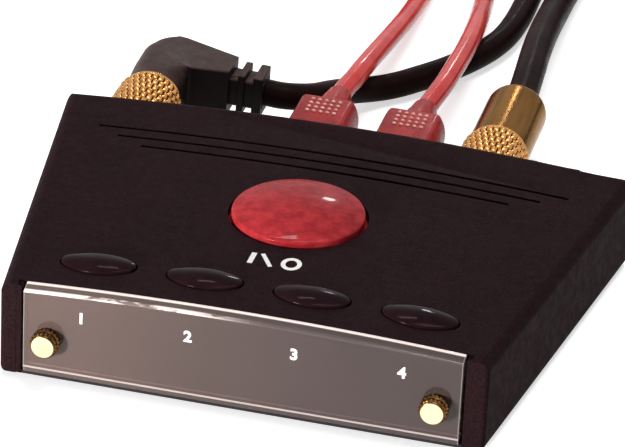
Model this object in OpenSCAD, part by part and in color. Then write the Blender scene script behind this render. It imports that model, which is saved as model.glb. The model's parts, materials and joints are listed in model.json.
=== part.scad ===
// Audio source switcher: a low wedge-plan box with a crowned top, four source
// buttons, a round lit power button, a clear front panel held by two thumbscrews
// and a row of sockets at the rear with four leads plugged in.
// Millimetres, +Z up, front towards -Y. Design heights start at the table.

/* [Case] */
// Width across the front
front_w = 101.4; // [99:0.2:107]
// Width across the rear
rear_w = 128.7; // [126:0.1:136]
// Depth of the cover, front of the cheeks to the rear edge
case_d = 89.5; // [88:0.5:93]
// Height of the cover in the middle, without the feet
case_h = 22.1; // [21.5:0.1:26]
// Radius of the crown across the top
crown_r = 800; // [700:50:1400]
// Thickness of the side walls
side_wall = 3.3; // [2.8:0.1:3.6]
// Thickness of the top
top_t = 2; // [1.6:0.1:2.4]
// Rounding of the top edges
edge_r = 2.6; // [1.5:0.1:2.8]
// Rounding of the bottom edges of the side walls
sill_r = 1.4; // [0.8:0.1:1.6]
// Rounding of the rear corners in plan
corner_r = 3; // [2:0.5:4]
// Rounding of the front corners in plan
cheek_r = 1.2; // [0.8:0.1:1.6]
// Thickness of the tray's floor
floor_t = 2; // [1.8:0.1:2.4]
// Thickness of the tray's front wall
tray_wall = 2.2; // [1.8:0.1:2.4]
// Width of the three grooves across the top
groove_w = 1; // [0.6:0.1:1.4]
// Depth of the three grooves
groove_t = 0.6; // [0.4:0.1:1]

/* [Front panel] */
// Gap between each end of the clear panel and its cheek
panel_gap = 1.8; // [1.7:0.05:2.9]
// Thickness of the clear panel
panel_t = 2.9; // [2.4:0.1:3.2]
// How far the panel stands in front of the cheeks
panel_proud = 0.7; // [0.3:0.1:1.2]
// Height of the panel's bottom edge above the case bottom
panel_sill = 0.9; // [0.8:0.1:1.4]
// Thickness of the backing sheet
backing_t = 0.6; // [0.4:0.1:0.8]
// Thumbscrew axis in from the end of the clear panel
screw_in = 5.1; // [4.6:0.1:7.1]
// Thumbscrew height above the case bottom
screw_z = 9.4; // [8.5:0.1:11]
// Thumbscrew head diameter
screw_head_d = 6; // [5:0.1:7]
// Thumbscrew head length
screw_head_l = 3.3; // [2.5:0.1:5]
// Thumbscrew shank diameter
screw_d = 2.8; // [2.4:0.1:3]

/* [Buttons] */
// Distance between neighbouring source buttons
button_pitch = 22.5; // [21:0.1:22.6]
// Source button length across the case
button_w = 15.8; // [14:0.1:16.4]
// Source button width front to back
button_l = 8.6; // [7.6:0.1:9.2]
// Small end radius of the oval
button_end_r = 2.4; // [2:0.1:2.8]
// Distance of the source buttons from the front
button_y = 12.3; // [12:0.1:13.4]
// Height of the dome of a source button over the top
button_rise = 1.5; // [1:0.1:2]
// Travel of a source button
button_travel = 0.8; // [0.4:0.1:1]
// Power button diameter
power_d = 29; // [26:0.1:30]
// Distance of the power button from the front
power_y = 44.8; // [44:0.1:46]
// Height of the power button's edge over the top
power_edge = 1.2; // [0.5:0.1:1.6]
// Rise of the power button's dome over its edge
power_dome = 2; // [1:0.1:2.4]
// Travel of the power button
power_travel = 2; // [1.5:0.1:2.2]
// Gap round each button
button_gap = 0.3; // [0.2:0.05:0.5]

/* [Rear] */
// Distance of the outermost sockets from the rear corners
socket_edge = 14.35; // [13.5:0.05:16]
// Height of the socket axes above the case bottom
socket_z = 11; // [10.8:0.1:12]
// How far the rear panel sits in from the rear edge
rear_inset = 1.5; // [1:0.1:2.5]
// Thickness of the rear panel
rear_t = 2; // [1.6:0.1:2.4]
// Length of the coaxial shells behind the rear panel
shell_l = 9.5; // [8.5:0.1:9.6]
// Outer diameter of the coaxial shells
shell_d = 8.3; // [8.1:0.1:8.4]

/* [Plugs] */
// Diameter of the knurled collars
collar_d = 15.6; // [14.6:0.1:16]
// Length of the knurled collars
collar_l = 17.2; // [16:0.2:19]
// Diameter of the smooth barrels
barrel_d = 14; // [12.8:0.1:14.2]
// Length of the smooth barrels
barrel_l = 24; // [20:0.5:24]
// Half width of an optical plug at its top and bottom faces
grip_flat = 5.6; // [5.2:0.1:5.8]
// Half width of an optical plug at mid height
grip_belly = 7.3; // [6.6:0.1:7.4]
// Height of an optical plug
grip_h = 10; // [9:0.1:10.2]
// Length of an optical plug's grip
grip_l = 22.5; // [20:0.5:23]
// Length of the tapered neck behind the grip
neck_l = 11; // [8:0.5:12]

/* [Feet] */
// Height of the feet below the case
foot_h = 1; // [0.8:0.1:1.6]
// Diameter of the feet
foot_d = 9; // [7:0.5:10]

/* [Hidden] */
$fn = 64;

// Clearance between pieces that slide or drop into each other
fit = 0.2;
// Overlap of cutters past a face
over = 1;
// How far a rounding arc runs past the faces it meets, so that it crosses them cleanly
past = 0.03;
// Lip of the cheeks over the ends of the front opening
cheek_lip = 0.3;

// Plan of the case
taper = atan((rear_w - front_w) / 2 / case_d);
function half_w(y) = front_w / 2 + (rear_w - front_w) / 2 * y / case_d;
function inner_w(y, inset) = half_w(y) - inset / cos(taper);

// Heights of the crowned top
function crown_drop(x) = crown_r - sqrt(crown_r * crown_r - x * x);
function skin_z(x) = foot_h + case_h - crown_drop(x);
function under_z(x) = skin_z(x) - top_t;
crown_fn = 1440;
crown_axis_z = foot_h + case_h - crown_r;

// Front to back stack
panel_y = -panel_proud;
backing_y = panel_y + panel_t;
tray_wall_y = backing_y + backing_t;
tray_wall_back = tray_wall_y + tray_wall;
cover_front = backing_y + 0.1;
rear_out_y = case_d - rear_inset;
rear_in_y = rear_out_y - rear_t;
y_mid = (panel_y - screw_head_l + rear_out_y + shell_l) / 2;

// Floor, boards and socket heights
floor_z = foot_h + floor_t;
axis_z = foot_h + socket_z;
board_t = 1.6;
board_over_axis = 5;
board_z = axis_z - board_over_axis;
control_z = 12;
control_y0 = tray_wall_back + 3.8;
control_bar_back = button_y + 6;
tongue_w = 32;

// Places that repeat
screw_pad = 0.6;
panel_w = front_w - 2 * (side_wall + panel_gap);
screw_x = panel_w / 2 - screw_in;
socket_pitch = (rear_w - 2 * socket_edge) / 5;
source_x = [for (i = [-1.5:1:1.5]) i * button_pitch];
socket_x = [for (i = [-2.5:1:2.5]) i * socket_pitch];
coax_x = [socket_x[0], socket_x[4]];
optical_x = [socket_x[1], socket_x[2], socket_x[3]];
dc_x = socket_x[5];
post_r = 3.2;
post_y = [27, 62];
post_x = [for (y = post_y) inner_w(y, side_wall) - post_r - 0.6];
standoff_x = 2 * socket_pitch;
standoff_front = 40;
standoff_back = 20;
standoff_y = [standoff_front, rear_in_y - standoff_back];
hang_boss = [[button_pitch, button_y], [13, power_y + power_d / 2 + 2.4]];
hang_r = 2;
foot_y = [13, 74];
foot_x = [for (y = foot_y) inner_w(y, side_wall) - foot_d / 2 - 1];
foot_sunk = 0.6;

// Small shapes

// Straight-sided plan of the case, drawn in by inset, between two depths
module plan(inset, y0, y1) {
    polygon([[-inner_w(y0, inset), y0], [inner_w(y0, inset), y0],
             [inner_w(y1, inset), y1], [-inner_w(y1, inset), y1]]);
}

// Cutters in plan for the right rear and right front corners
module rear_corner_cutter() {
    c = [half_w(case_d - corner_r) - corner_r / cos(taper), case_d - corner_r];
    side = [cos(taper), -sin(taper)];
    difference() {
        polygon([c, c + (corner_r + over) * side, c + (corner_r + 2 * over) * [1, 1],
            c + [0, corner_r + over]]);
        translate(c) circle(corner_r + past);
    }
}

module front_corner_cutter() {
    c = [half_w(cheek_r) - cheek_r / cos(taper), cheek_r];
    side = [cos(taper), -sin(taper)];
    difference() {
        polygon([c, c - [0, cheek_r + over], c + (cheek_r + 2 * over) * [1, -1],
            c + (cheek_r + over) * side]);
        translate(c) circle(cheek_r + past);
    }
}

// Everything under the crown of the top, lowered by depth
module under_crown(depth) {
    translate([0, -case_d / 2, crown_axis_z]) rotate([-90, 0, 0])
        cylinder(r = crown_r - depth, h = 2 * case_d, $fn = crown_fn);
}

// A section swept round the crown's axis: first coordinate from the axis, second along Y
module round_crown() {
    translate([0, 0, crown_axis_z]) rotate([-90, 0, 0]) rotate_extrude($fn = crown_fn) children();
}

// Cutter that rounds the corner between a side wall and a face that rises inwards by slope
module corner_cutter(r, slope) {
    v0 = -r * (1 - sin(slope)) / cos(slope);
    touch = [-r + r * sin(slope), v0 + r * cos(slope)];
    difference() {
        polygon([[-r, v0], touch, touch + [sin(slope), cos(slope)], [over, over], [over, v0]]);
        translate([-r, v0]) circle(r + past);
    }
}

// The cutter carried along the right side wall's edge, from its rear height to its front height
module side_edge_cut(r, slope, z_front, z_rear, flip) {
    run = case_d / cos(taper);
    pitch = atan((z_front - z_rear) / run);
    translate([half_w(case_d), case_d, z_rear]) rotate([0, 0, -taper]) rotate([90, 0, 0])
        rotate([-pitch, 0, 0]) mirror([0, flip, 0]) translate([0, 0, -10])
            linear_extrude(run + 20) corner_cutter(r, slope);
}

// Oval of four arcs
module oval(w, l, end_r) {
    a = w / 2 - end_r;
    b = l / 2;
    big_r = (a * a + b * b - end_r * end_r) / (2 * (b - end_r));
    touch_x = a * big_r / (big_r - end_r);
    intersection() {
        translate([0, b - big_r]) circle(big_r);
        translate([0, big_r - b]) circle(big_r);
        square([2 * touch_x, l], center = true);
    }
    for (s = [-1, 1]) translate([s * a, 0]) circle(end_r);
}

// Rectangle with rounded corners, centred
module round_rect(w, h, r) {
    square([w - 2 * r, h], center = true);
    square([w, h - 2 * r], center = true);
    for (x = [-1, 1], y = [-1, 1]) translate([x * (w / 2 - r), y * (h / 2 - r)]) circle(r);
}

// Stands a shape drawn along Z on the Y axis, its base at y = 0, top towards +Y
module along_y() {
    rotate([-90, 0, 0]) children();
}

// Bar along Z with rows of knurling between plain rims
module knurled(d, h, teeth, rows, rim) {
    depth = d * 0.045;
    row_h = (h - 2 * rim) / rows;
    gap = rows > 1 ? 0.18 * row_h : 0;
    cylinder(r = d / 2 - depth - 0.15, h = h);
    for (k = [0:rows - 1]) translate([0, 0, rim + k * row_h + gap / 2]) rotate(k % 2 * 180 / teeth)
        linear_extrude(row_h - gap) polygon([for (i = [0:2 * teeth - 1]) let (r = d / 2 - (i % 2) * depth)
            r * [cos(180 * i / teeth), sin(180 * i / teeth)]]);
}

// Round bar along Z whose top edge is rounded
module round_end(d, h, r) {
    rotate_extrude() {
        square([d / 2 - r, h]);
        square([d / 2, h - r]);
        translate([d / 2 - r, h - r]) circle(r);
    }
}

// Pan-head screw along Z, head below z = 0
module pan_screw(d, l, head_d, head_h) {
    cylinder(d = d, h = l);
    difference() {
        translate([0, 0, -head_h]) cylinder(d = head_d, h = head_h);
        for (a = [0, 90]) rotate(a) translate([-head_d * 0.3, -0.3, -head_h - over])
            cube([head_d * 0.6, 0.6, over + head_h * 0.4]);
    }
}

// Case

grooves = [[52.2, 73.5], [46.8, 69.6], [40.6, 65.8]];

module groove(half, y) {
    intersection() {
        round_crown() translate([crown_r - groove_t, y - groove_w / 2]) square([groove_t + over, groove_w]);
        translate([-half, 0, foot_h]) cube([2 * half, case_d, case_h + over]);
    }
}

module cover_shell() {
    side_slope = asin(half_w(case_d / 2) / crown_r);
    difference() {
        intersection() {
            translate([0, 0, foot_h]) linear_extrude(case_h + over) plan(0, 0, case_d);
            under_crown(0);
        }
        intersection() {
            translate([0, 0, -over]) linear_extrude(case_h + foot_h + 2 * over)
                plan(side_wall, -over, case_d + over);
            under_crown(top_t);
        }
        translate([0, 0, foot_h + case_h / 2]) linear_extrude(case_h)
            plan(side_wall + cheek_lip, -over, cover_front);
        for (m = [0, 1]) mirror([m, 0, 0]) {
            side_edge_cut(edge_r, side_slope, skin_z(half_w(0)), skin_z(half_w(case_d)), 0);
            side_edge_cut(sill_r, 0, foot_h, foot_h, 1);
            linear_extrude(case_h + foot_h + over) rear_corner_cutter();
            linear_extrude(case_h + foot_h + over) front_corner_cutter();
        }
        round_crown() difference() {
            translate([crown_r - edge_r, case_d - edge_r]) square(edge_r + over);
            translate([crown_r - edge_r, case_d - edge_r]) circle(edge_r);
        }
        for (g = grooves) groove(g[0], g[1]);
        for (x = source_x) translate([x, button_y, foot_h]) linear_extrude(case_h + over)
            oval(button_w + 2 * button_gap, button_l + 2 * button_gap, button_end_r + button_gap);
        translate([0, power_y, foot_h]) cylinder(d = power_d + 2 * button_gap, h = case_h + over);
    }
}

// Depth to which posts and bosses grow into the top
root = 0.8;
pilot_d = 2.2;
hang_pilot_d = 1.7;

module top_cover() {
    color([0.2, 0.16, 0.18]) difference() {
        union() {
            cover_shell();
            for (i = [0, 1], s = [-1, 1]) translate([s * post_x[i], post_y[i], floor_z])
                cylinder(r = post_r, h = under_z(post_x[i]) + root - floor_z);
            for (p = hang_boss, s = [-1, 1]) translate([s * p[0], p[1], control_z])
                cylinder(r = hang_r, h = under_z(p[0]) + root - control_z);
        }
        for (i = [0, 1], s = [-1, 1]) translate([s * post_x[i], post_y[i], floor_z - over])
            cylinder(d = pilot_d, h = 10 + over);
        for (p = hang_boss, s = [-1, 1]) translate([s * p[0], p[1], control_z - over])
            cylinder(d = hang_pilot_d, h = 5 + over);
    }
}

ledge_t = panel_sill - 0.15;
rib_t = 1.2;
rib_h = 3;
case_screw_d = 2;
case_screw_l = 8;
case_screw_head = 5;
case_screw_sunk = 1.2;
insert_d = 4.6;
insert_l = 5;
insert_boss_r = 3.3;
insert_boss_l = 3;
standoff_r = 3;

module base_tray() {
    color([0.13, 0.12, 0.13]) difference() {
        union() {
            translate([0, 0, foot_h]) linear_extrude(floor_t)
                plan(side_wall + fit, tray_wall_y, case_d - 0.4);
            translate([0, 0, foot_h]) linear_extrude(ledge_t) plan(side_wall + fit, 0.3, tray_wall_back);
            intersection() {
                translate([0, 0, foot_h]) linear_extrude(case_h)
                    plan(side_wall + fit, tray_wall_y, tray_wall_back);
                under_crown(top_t + fit);
            }
            for (s = [-1, 1]) translate([s * screw_x, tray_wall_back - over, foot_h + screw_z])
                along_y() cylinder(r = insert_boss_r, h = insert_boss_l + over);
            for (x = [-1, 1], y = standoff_y) translate([x * standoff_x, y, foot_h])
                cylinder(r = standoff_r, h = board_z - board_t - foot_h);
            for (y = [rear_in_y - fit - rib_t, rear_out_y + fit]) translate([0, 0, foot_h])
                linear_extrude(floor_t + (y < rear_in_y ? rib_h : 0.8))
                    plan(side_wall + 2, y, y + min(rib_t, case_d - 0.5 - y));
        }
        for (s = [-1, 1]) translate([s * screw_x, backing_y, foot_h + screw_z])
            along_y() cylinder(d = insert_d + 0.1, h = 20);
        for (x = [-1, 1], y = standoff_y) translate([x * standoff_x, y, floor_z - 0.6])
            cylinder(d = pilot_d, h = case_h);
        for (i = [0, 1], s = [-1, 1]) {
            translate([s * post_x[i], post_y[i], 0]) cylinder(d = case_screw_d + 1, h = floor_z + over);
            translate([s * post_x[i], post_y[i], 0])
                cylinder(d = case_screw_head + 0.6, h = foot_h + case_screw_sunk);
            translate([s * foot_x[i], foot_y[i], 0]) cylinder(d = foot_d + 0.3, h = foot_h + foot_sunk);
        }
    }
}

optical_body_w = 9.8;
optical_body_h = 10;
optical_body_l = 12;
optical_body_back = rear_in_y - optical_body_l;
optical_face_y = rear_out_y + 0.5;
coax_hole_d = shell_d + 0.5;
dc_nose_d = 9;

module rear_panel() {
    color([0.12, 0.12, 0.12]) difference() {
        intersection() {
            translate([0, 0, floor_z]) linear_extrude(case_h) plan(side_wall + fit, rear_in_y, rear_out_y);
            under_crown(top_t + fit);
        }
        for (x = coax_x) translate([x, rear_in_y - over, axis_z])
            along_y() cylinder(d = coax_hole_d, h = rear_t + 2 * over);
        translate([dc_x, rear_in_y - over, axis_z]) along_y()
            cylinder(d = dc_nose_d + 0.4, h = rear_t + 2 * over);
        for (x = optical_x) translate([x - optical_body_w / 2 - fit, rear_in_y - over,
            axis_z - optical_body_h / 2 - fit])
            cube([optical_body_w + 2 * fit, rear_t + 2 * over, optical_body_h + 2 * fit]);
    }
}

panel_bevel_h = 0.9;
panel_bevel_y = 2.3;
panel_foot_bevel = [0.55, 1.55];

module front_panel() {
    bottom = foot_h + panel_sill;
    color([0.55, 0.47, 0.44, 0.7]) difference() {
        intersection() {
            translate([-panel_w / 2, panel_y, bottom]) cube([panel_w, panel_t, case_h]);
            under_crown(0.05);
        }
        round_crown() polygon([[crown_r - panel_bevel_h, panel_y - over],
            [crown_r - panel_bevel_h, panel_y],
            [crown_r, panel_y + panel_bevel_y], [crown_r + over, panel_y + panel_bevel_y],
                [crown_r + over, panel_y - over]]);
        translate([-panel_w / 2 - over, panel_y, bottom]) rotate([90, 0, 90])
            linear_extrude(panel_w + 2 * over)
            polygon([[-over, -over], [panel_foot_bevel[0], -over], [panel_foot_bevel[0], 0],
                [0, panel_foot_bevel[1]], [-over, panel_foot_bevel[1]]]);
        for (s = [-1, 1]) translate([s * screw_x, panel_y - over, foot_h + screw_z])
            along_y() cylinder(d = screw_d + screw_pad, h = panel_t + 2 * over);
    }
}

module panel_backing() {
    color([0.62, 0.56, 0.53]) difference() {
        intersection() {
            translate([-panel_w / 2 + 0.4, backing_y, foot_h + panel_sill + 0.3])
                cube([panel_w - 0.8, backing_t, case_h]);
            under_crown(top_t + fit);
        }
        for (s = [-1, 1]) translate([s * screw_x, backing_y - over, foot_h + screw_z])
            along_y() cylinder(d = screw_d + screw_pad, h = backing_t + 2 * over);
    }
}

module rubber_feet() {
    color([0.1, 0.1, 0.1]) for (i = [0, 1], s = [-1, 1]) translate([s * foot_x[i], foot_y[i], 0])
        mirror([0, 0, 1]) translate([0, 0, -foot_h - foot_sunk]) round_end(foot_d, foot_h + foot_sunk, 0.5);
}

module case_screws() {
    color([0.25, 0.25, 0.27]) for (i = [0, 1], s = [-1, 1])
        translate([s * post_x[i], post_y[i], foot_h + case_screw_sunk])
            pan_screw(case_screw_d, case_screw_l, case_screw_head, case_screw_sunk);
}

module thread_inserts() {
    color([0.75, 0.6, 0.3]) for (s = [-1, 1]) translate([s * screw_x, tray_wall_y, foot_h + screw_z])
        along_y()
        difference() {
            cylinder(d = insert_d, h = insert_l);
            translate([0, 0, -over]) cylinder(d = screw_d + 0.2, h = insert_l + 2 * over);
        }
}

// Boards

board_front = 34;
board_gap = 1.5;
board_screw_d = 2;
board_screw_head = 4;

module main_board() {
    color([0.1, 0.35, 0.2]) difference() {
        translate([0, 0, board_z - board_t]) linear_extrude(board_t)
            plan(side_wall + board_gap, board_front, rear_in_y - fit - rib_t - fit);
        for (s = [-1, 1]) translate([s * post_x[1], post_y[1], 0]) cylinder(r = post_r + 0.8, h = case_h);
        for (x = [-1, 1], y = standoff_y) translate([x * standoff_x, y, 0])
            cylinder(d = board_screw_d + 0.4, h = case_h);
    }
}

tongue_back = hang_boss[1][1] + hang_r + 0.5;

module control_board() {
    bar = inner_w(control_y0, side_wall) - 3;
    color([0.12, 0.4, 0.24]) difference() {
        translate([0, 0, control_z - board_t]) linear_extrude(board_t) {
            translate([-bar, control_y0]) square([2 * bar, control_bar_back - control_y0]);
            translate([-tongue_w / 2, control_bar_back - over])
                square([tongue_w, tongue_back - control_bar_back + over]);
        }
        for (p = hang_boss, s = [-1, 1]) translate([s * p[0], p[1], 0])
            cylinder(d = board_screw_d + 0.4, h = case_h);
    }
}

module board_screws() {
    color([0.7, 0.7, 0.72]) {
        for (x = [-1, 1], y = standoff_y) translate([x * standoff_x, y, board_z]) mirror([0, 0, 1])
            pan_screw(board_screw_d, board_t + 1.6, board_screw_head, 1.3);
        for (p = hang_boss, s = [-1, 1]) translate([s * p[0], p[1], control_z - board_t])
            pan_screw(hang_pilot_d - 0.2, board_t + 4, board_screw_head - 0.4, 1.1);
    }
}

switch_w = 6;
switch_h = 3.5;
plunger_d = 3.4;
plunger_top = 4.3;
plunger_low = 2.4;

module switch_bodies() {
    color([0.15, 0.15, 0.16]) for (x = source_x) translate([x, button_y, control_z]) difference() {
        translate([-switch_w / 2, -switch_w / 2, 0]) cube([switch_w, switch_w, switch_h]);
        translate([0, 0, plunger_low - button_travel - 0.2]) cylinder(d = plunger_d + 0.2, h = switch_h);
    }
}

power_body_w = 8.4;
power_body_h = 5.6;
power_plunger_d = 3.8;
power_plunger_top = 8.5;
power_plunger_low = 3.6;

module power_switch() {
    color([0.85, 0.85, 0.82]) translate([0, power_y, control_z]) difference() {
        translate([-power_body_w / 2, -power_body_w / 2, 0])
            cube([power_body_w, power_body_w, power_body_h]);
        translate([0, 0, power_plunger_low - power_travel - 0.3])
            cylinder(d = power_plunger_d + 0.2, h = power_body_h + power_travel);
    }
}

led_r = 1.5;
led_h = 4;
led_out = 8.5;

module button_leds() {
    color([0.9, 0.3, 0.3, 0.8]) for (a = [45:90:315])
        translate([led_out * cos(a), power_y + led_out * sin(a), control_z]) {
        cylinder(r = led_r + 0.3, h = 0.8);
        cylinder(r = led_r, h = led_h - led_r);
        translate([0, 0, led_h - led_r]) sphere(led_r);
    }
}

// Rows of parts on the main board, in front of the sockets
socket_row_gap = 10;
can_row_gap = 8;
chip_row_gap = 6;
standoff_gap = 5;
socket_row_y = optical_body_back - socket_row_gap;
can_row_y = socket_row_y - can_row_gap;

// Chips as [x, y, length, width, height]
chips = [[-1.15 * socket_pitch, 52, 12, 8, 1.7], [1.1 * socket_pitch, can_row_y - chip_row_gap, 9, 6, 1.7],
    [-0.4 * socket_pitch, socket_row_y, 6, 5, 1.5], [0.4 * socket_pitch, socket_row_y, 6, 5, 1.5],
    [standoff_x - standoff_gap, socket_row_y, 5, 4, 1.5], [-1.2 * socket_pitch, 40, 6, 5, 1.5]];

module board_chips() {
    color([0.08, 0.08, 0.09]) for (c = chips) translate([c[0] - c[2] / 2, c[1] - c[3] / 2, board_z])
        cube([c[2], c[3], c[4]]);
}

// Capacitors as [x, y, diameter, height]
cans = [[1.5 * socket_pitch, can_row_y, 6.3, 7], [1.925 * socket_pitch, can_row_y, 6.3, 7],
    [1.3 * socket_pitch, socket_row_y, 5, 5.5], [-1.9 * socket_pitch, can_row_y, 5, 5.5],
    [-1.6 * socket_pitch, socket_row_y, 4, 5]];

module board_capacitors() {
    color([0.2, 0.22, 0.4]) for (c = cans) translate([c[0], c[1], board_z]) round_end(c[2], c[3], 0.5);
}

link_w = 20;
link_l = 5;

module board_link() {
    color([0.1, 0.1, 0.1]) translate([-link_w / 2, board_front + 1.5, board_z])
        cube([link_w, link_l, control_z - board_t - board_z]);
}

// Sockets

well_w = 7.2;
well_low = 3.6;
well_high = 4.4;
well_l = 10;
well_back = optical_face_y - well_l;
ferrule_hole_l = 2;
hinge_y = optical_face_y - 1.1;
hinge_z = axis_z + 3.7;
hinge_d = 1;
flap_w = 6.6;
flap_t = 0.6;
flap_l = 6.9;
ferrule_d = 2.5;

module optical_sockets() {
    color([0.1, 0.1, 0.11]) for (x = optical_x) translate([x, 0, 0]) difference() {
        translate([-optical_body_w / 2, optical_body_back, axis_z - optical_body_h / 2])
            cube([optical_body_w, optical_face_y - optical_body_back, optical_body_h]);
        translate([-well_w / 2, well_back, axis_z - well_low])
            cube([well_w, well_l + over, well_low + well_high]);
        translate([0, well_back - ferrule_hole_l, axis_z]) along_y()
            cylinder(d = ferrule_d + 0.7, h = ferrule_hole_l + over);
        translate([-well_w / 2 - 0.8, hinge_y, hinge_z]) rotate([0, 90, 0])
            cylinder(d = hinge_d + 0.2, h = well_w + 1.6);
    }
}

// A socket's flap on its hinge pin, swung inwards by angle
module flap(angle) {
    translate([0, hinge_y, hinge_z]) rotate([-angle, 0, 0]) {
        translate([-well_w / 2 - 0.7, 0, 0]) rotate([0, 90, 0]) cylinder(d = hinge_d, h = well_w + 1.4);
        translate([-flap_w / 2, -flap_t / 2, -flap_l]) cube([flap_w, flap_t, flap_l]);
    }
}

module open_shutters() {
    color([0.3, 0.3, 0.32]) for (i = [1, 2]) translate([optical_x[i], 0, 0]) flap(89);
}

module socket_shutter() {
    color([0.3, 0.3, 0.32]) translate([optical_x[0], 0, 0]) flap(0);
}

coax_body_w = 10;
coax_body_l = 11.5;
coax_body_top = 5.5;
shell_bore = shell_d - 1.2;
contact_d = 4.2;
contact_bore = 3.4;
contact_l = shell_l + rear_t - 3;

module coax_bodies() {
    color([0.08, 0.08, 0.08]) for (x = coax_x)
        translate([x - coax_body_w / 2, rear_in_y - coax_body_l, board_z])
            cube([coax_body_w, coax_body_l, axis_z - board_z + coax_body_top]);
}

module coax_shells() {
    color([0.83, 0.66, 0.3]) for (x = coax_x) translate([x, rear_in_y, axis_z]) along_y() difference() {
        cylinder(d = shell_d, h = rear_t + shell_l);
        translate([0, 0, -over]) cylinder(d = shell_bore, h = rear_t + shell_l + 2 * over);
    }
}

module coax_insulators() {
    color([0.9, 0.9, 0.88]) for (x = coax_x) translate([x, rear_in_y, axis_z]) along_y() difference() {
        cylinder(d = shell_bore - 0.1, h = contact_l - 0.5);
        translate([0, 0, -over]) cylinder(d = contact_d + 0.1, h = contact_l + 2 * over);
    }
}

module coax_contacts() {
    color([0.83, 0.66, 0.3]) for (x = coax_x) translate([x, rear_in_y, axis_z]) along_y() difference() {
        cylinder(d = contact_d, h = contact_l);
        translate([0, 0, 1]) cylinder(d = contact_bore, h = contact_l);
    }
}

dc_body_w = 9;
dc_body_l = 12;
dc_bore = 6.3;
dc_depth = 10;
dc_pin_d = 2;
dc_roof = 3.6;
dc_top = foot_h + case_h - top_t - dc_roof;

module dc_inlet() {
    color([0.07, 0.07, 0.07]) difference() {
        union() {
            translate([dc_x - dc_body_w / 2, rear_in_y - dc_body_l, board_z])
                cube([dc_body_w, dc_body_l, dc_top - board_z]);
            translate([dc_x, rear_in_y - over, axis_z]) along_y()
                cylinder(d = dc_nose_d, h = rear_t + 0.4 + over);
        }
        translate([dc_x, rear_out_y + 0.4 - dc_depth, axis_z]) along_y()
            cylinder(d = dc_bore, h = dc_depth + over);
    }
}

module dc_pin() {
    color([0.8, 0.8, 0.8]) translate([dc_x, rear_out_y + 0.4 - dc_depth, axis_z]) along_y()
        round_end(dc_pin_d, dc_depth - 1, 0.45);
}

// Buttons and thumbscrews

flange_out = 1;
flange_t = 1.2;
button_stem_d = 3;

// Underside of the top over a piece that reaches out to x
function flange_z(x) = under_z(x) - 0.15;

module source_button(x) {
    reach = abs(x) + button_w / 2 + flange_out;
    flange_top = flange_z(reach);
    dome_r = (button_w * button_w / 4 + button_rise * button_rise) / (2 * button_rise);
    peak = skin_z(x) + button_rise;
    color([0.03, 0.03, 0.035]) translate([x, button_y, 0]) {
        intersection() {
            translate([0, 0, flange_top - 0.5]) linear_extrude(peak - flange_top + over)
                oval(button_w, button_l, button_end_r);
            translate([0, 0, peak + 0.35 - dome_r]) sphere(dome_r, $fn = 256);
        }
        translate([0, 0, flange_top - flange_t]) linear_extrude(flange_t)
            oval(button_w + 2 * flange_out, button_l + 2 * flange_out, button_end_r + flange_out);
        translate([0, 0, control_z + plunger_top])
            cylinder(d = button_stem_d, h = flange_top - control_z - plunger_top);
    }
}

module switch_plunger(x) {
    color([0.75, 0.7, 0.6]) translate([x, button_y, control_z + plunger_low])
        cylinder(d = plunger_d, h = plunger_top - plunger_low);
}

power_wall = 1.8;
power_stem_d = 5;

module power_button() {
    flange_top = flange_z(power_d / 2 + flange_out);
    edge_z = skin_z(0) + power_edge;
    dome_r = (power_d * power_d / 4 + power_dome * power_dome) / (2 * power_dome);
    roof = edge_z + power_dome - dome_r;
    color([0.75, 0.2, 0.22, 0.8]) translate([0, power_y, 0]) {
        difference() {
            union() {
                intersection() {
                    translate([0, 0, flange_top - 0.5])
                        cylinder(d = power_d, h = edge_z + power_dome - flange_top + over);
                    translate([0, 0, roof]) sphere(dome_r, $fn = 512);
                }
                translate([0, 0, flange_top - flange_t])
                    cylinder(d = power_d + 2 * flange_out, h = flange_t);
            }
            intersection() {
                translate([0, 0, flange_top - flange_t - over])
                    cylinder(d = power_d - 2 * power_wall,
                        h = edge_z + power_dome - flange_top + flange_t + over);
                translate([0, 0, roof - power_wall]) sphere(dome_r, $fn = 512);
            }
        }
        translate([0, 0, control_z + power_plunger_top])
            cylinder(d = power_stem_d,
                h = edge_z + power_dome - power_wall / 2 - control_z - power_plunger_top);
    }
}

module power_plunger() {
    color([0.9, 0.9, 0.88]) translate([0, power_y, control_z + power_plunger_low])
        cylinder(d = power_plunger_d, h = power_plunger_top - power_plunger_low);
}

screw_teeth = 24;
screw_face_d = screw_head_d - 0.7;

module thumbscrew(s) {
    color([0.83, 0.62, 0.28]) translate([s * screw_x, panel_y, foot_h + screw_z]) rotate([90, 0, 0]) {
        knurled(screw_head_d, screw_head_l - 0.6, screw_teeth, 1, 0.3);
        translate([0, 0, screw_head_l - 0.7]) round_end(screw_face_d, 0.7, 0.4);
        translate([0, 0, -panel_t - backing_t - insert_l])
            cylinder(d = screw_d, h = panel_t + backing_t + insert_l + 0.5);
    }
}

// Plugs: each is drawn along Y, mating face at y = 0, cable end towards +Y

collar_y = case_d + 0.3;
collar_bore = shell_d + 0.4;
collar_bore_l = rear_out_y + shell_l - collar_y + 3.5;
collar_teeth = 32;
collar_rows = 8;
pin_d = 3.1;
pin_out = collar_y - rear_in_y - 2;
web_t = 2;

module collar() {
    along_y() difference() {
        knurled(collar_d, collar_l, collar_teeth, collar_rows, 0.7);
        translate([0, 0, -over]) cylinder(d = collar_bore, h = collar_bore_l + over);
    }
}

module barrel() {
    translate([0, collar_l, 0]) along_y() round_end(barrel_d, barrel_l, 2.5);
}

// Pin of a coaxial plug; root_l is how far it runs past the bottom of the collar's bore
module plug_pin(root_l) {
    l = pin_out + collar_bore_l + root_l;
    translate([0, collar_bore_l + root_l, 0]) rotate([90, 0, 0]) round_end(pin_d, l, 0.7);
}

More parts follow.
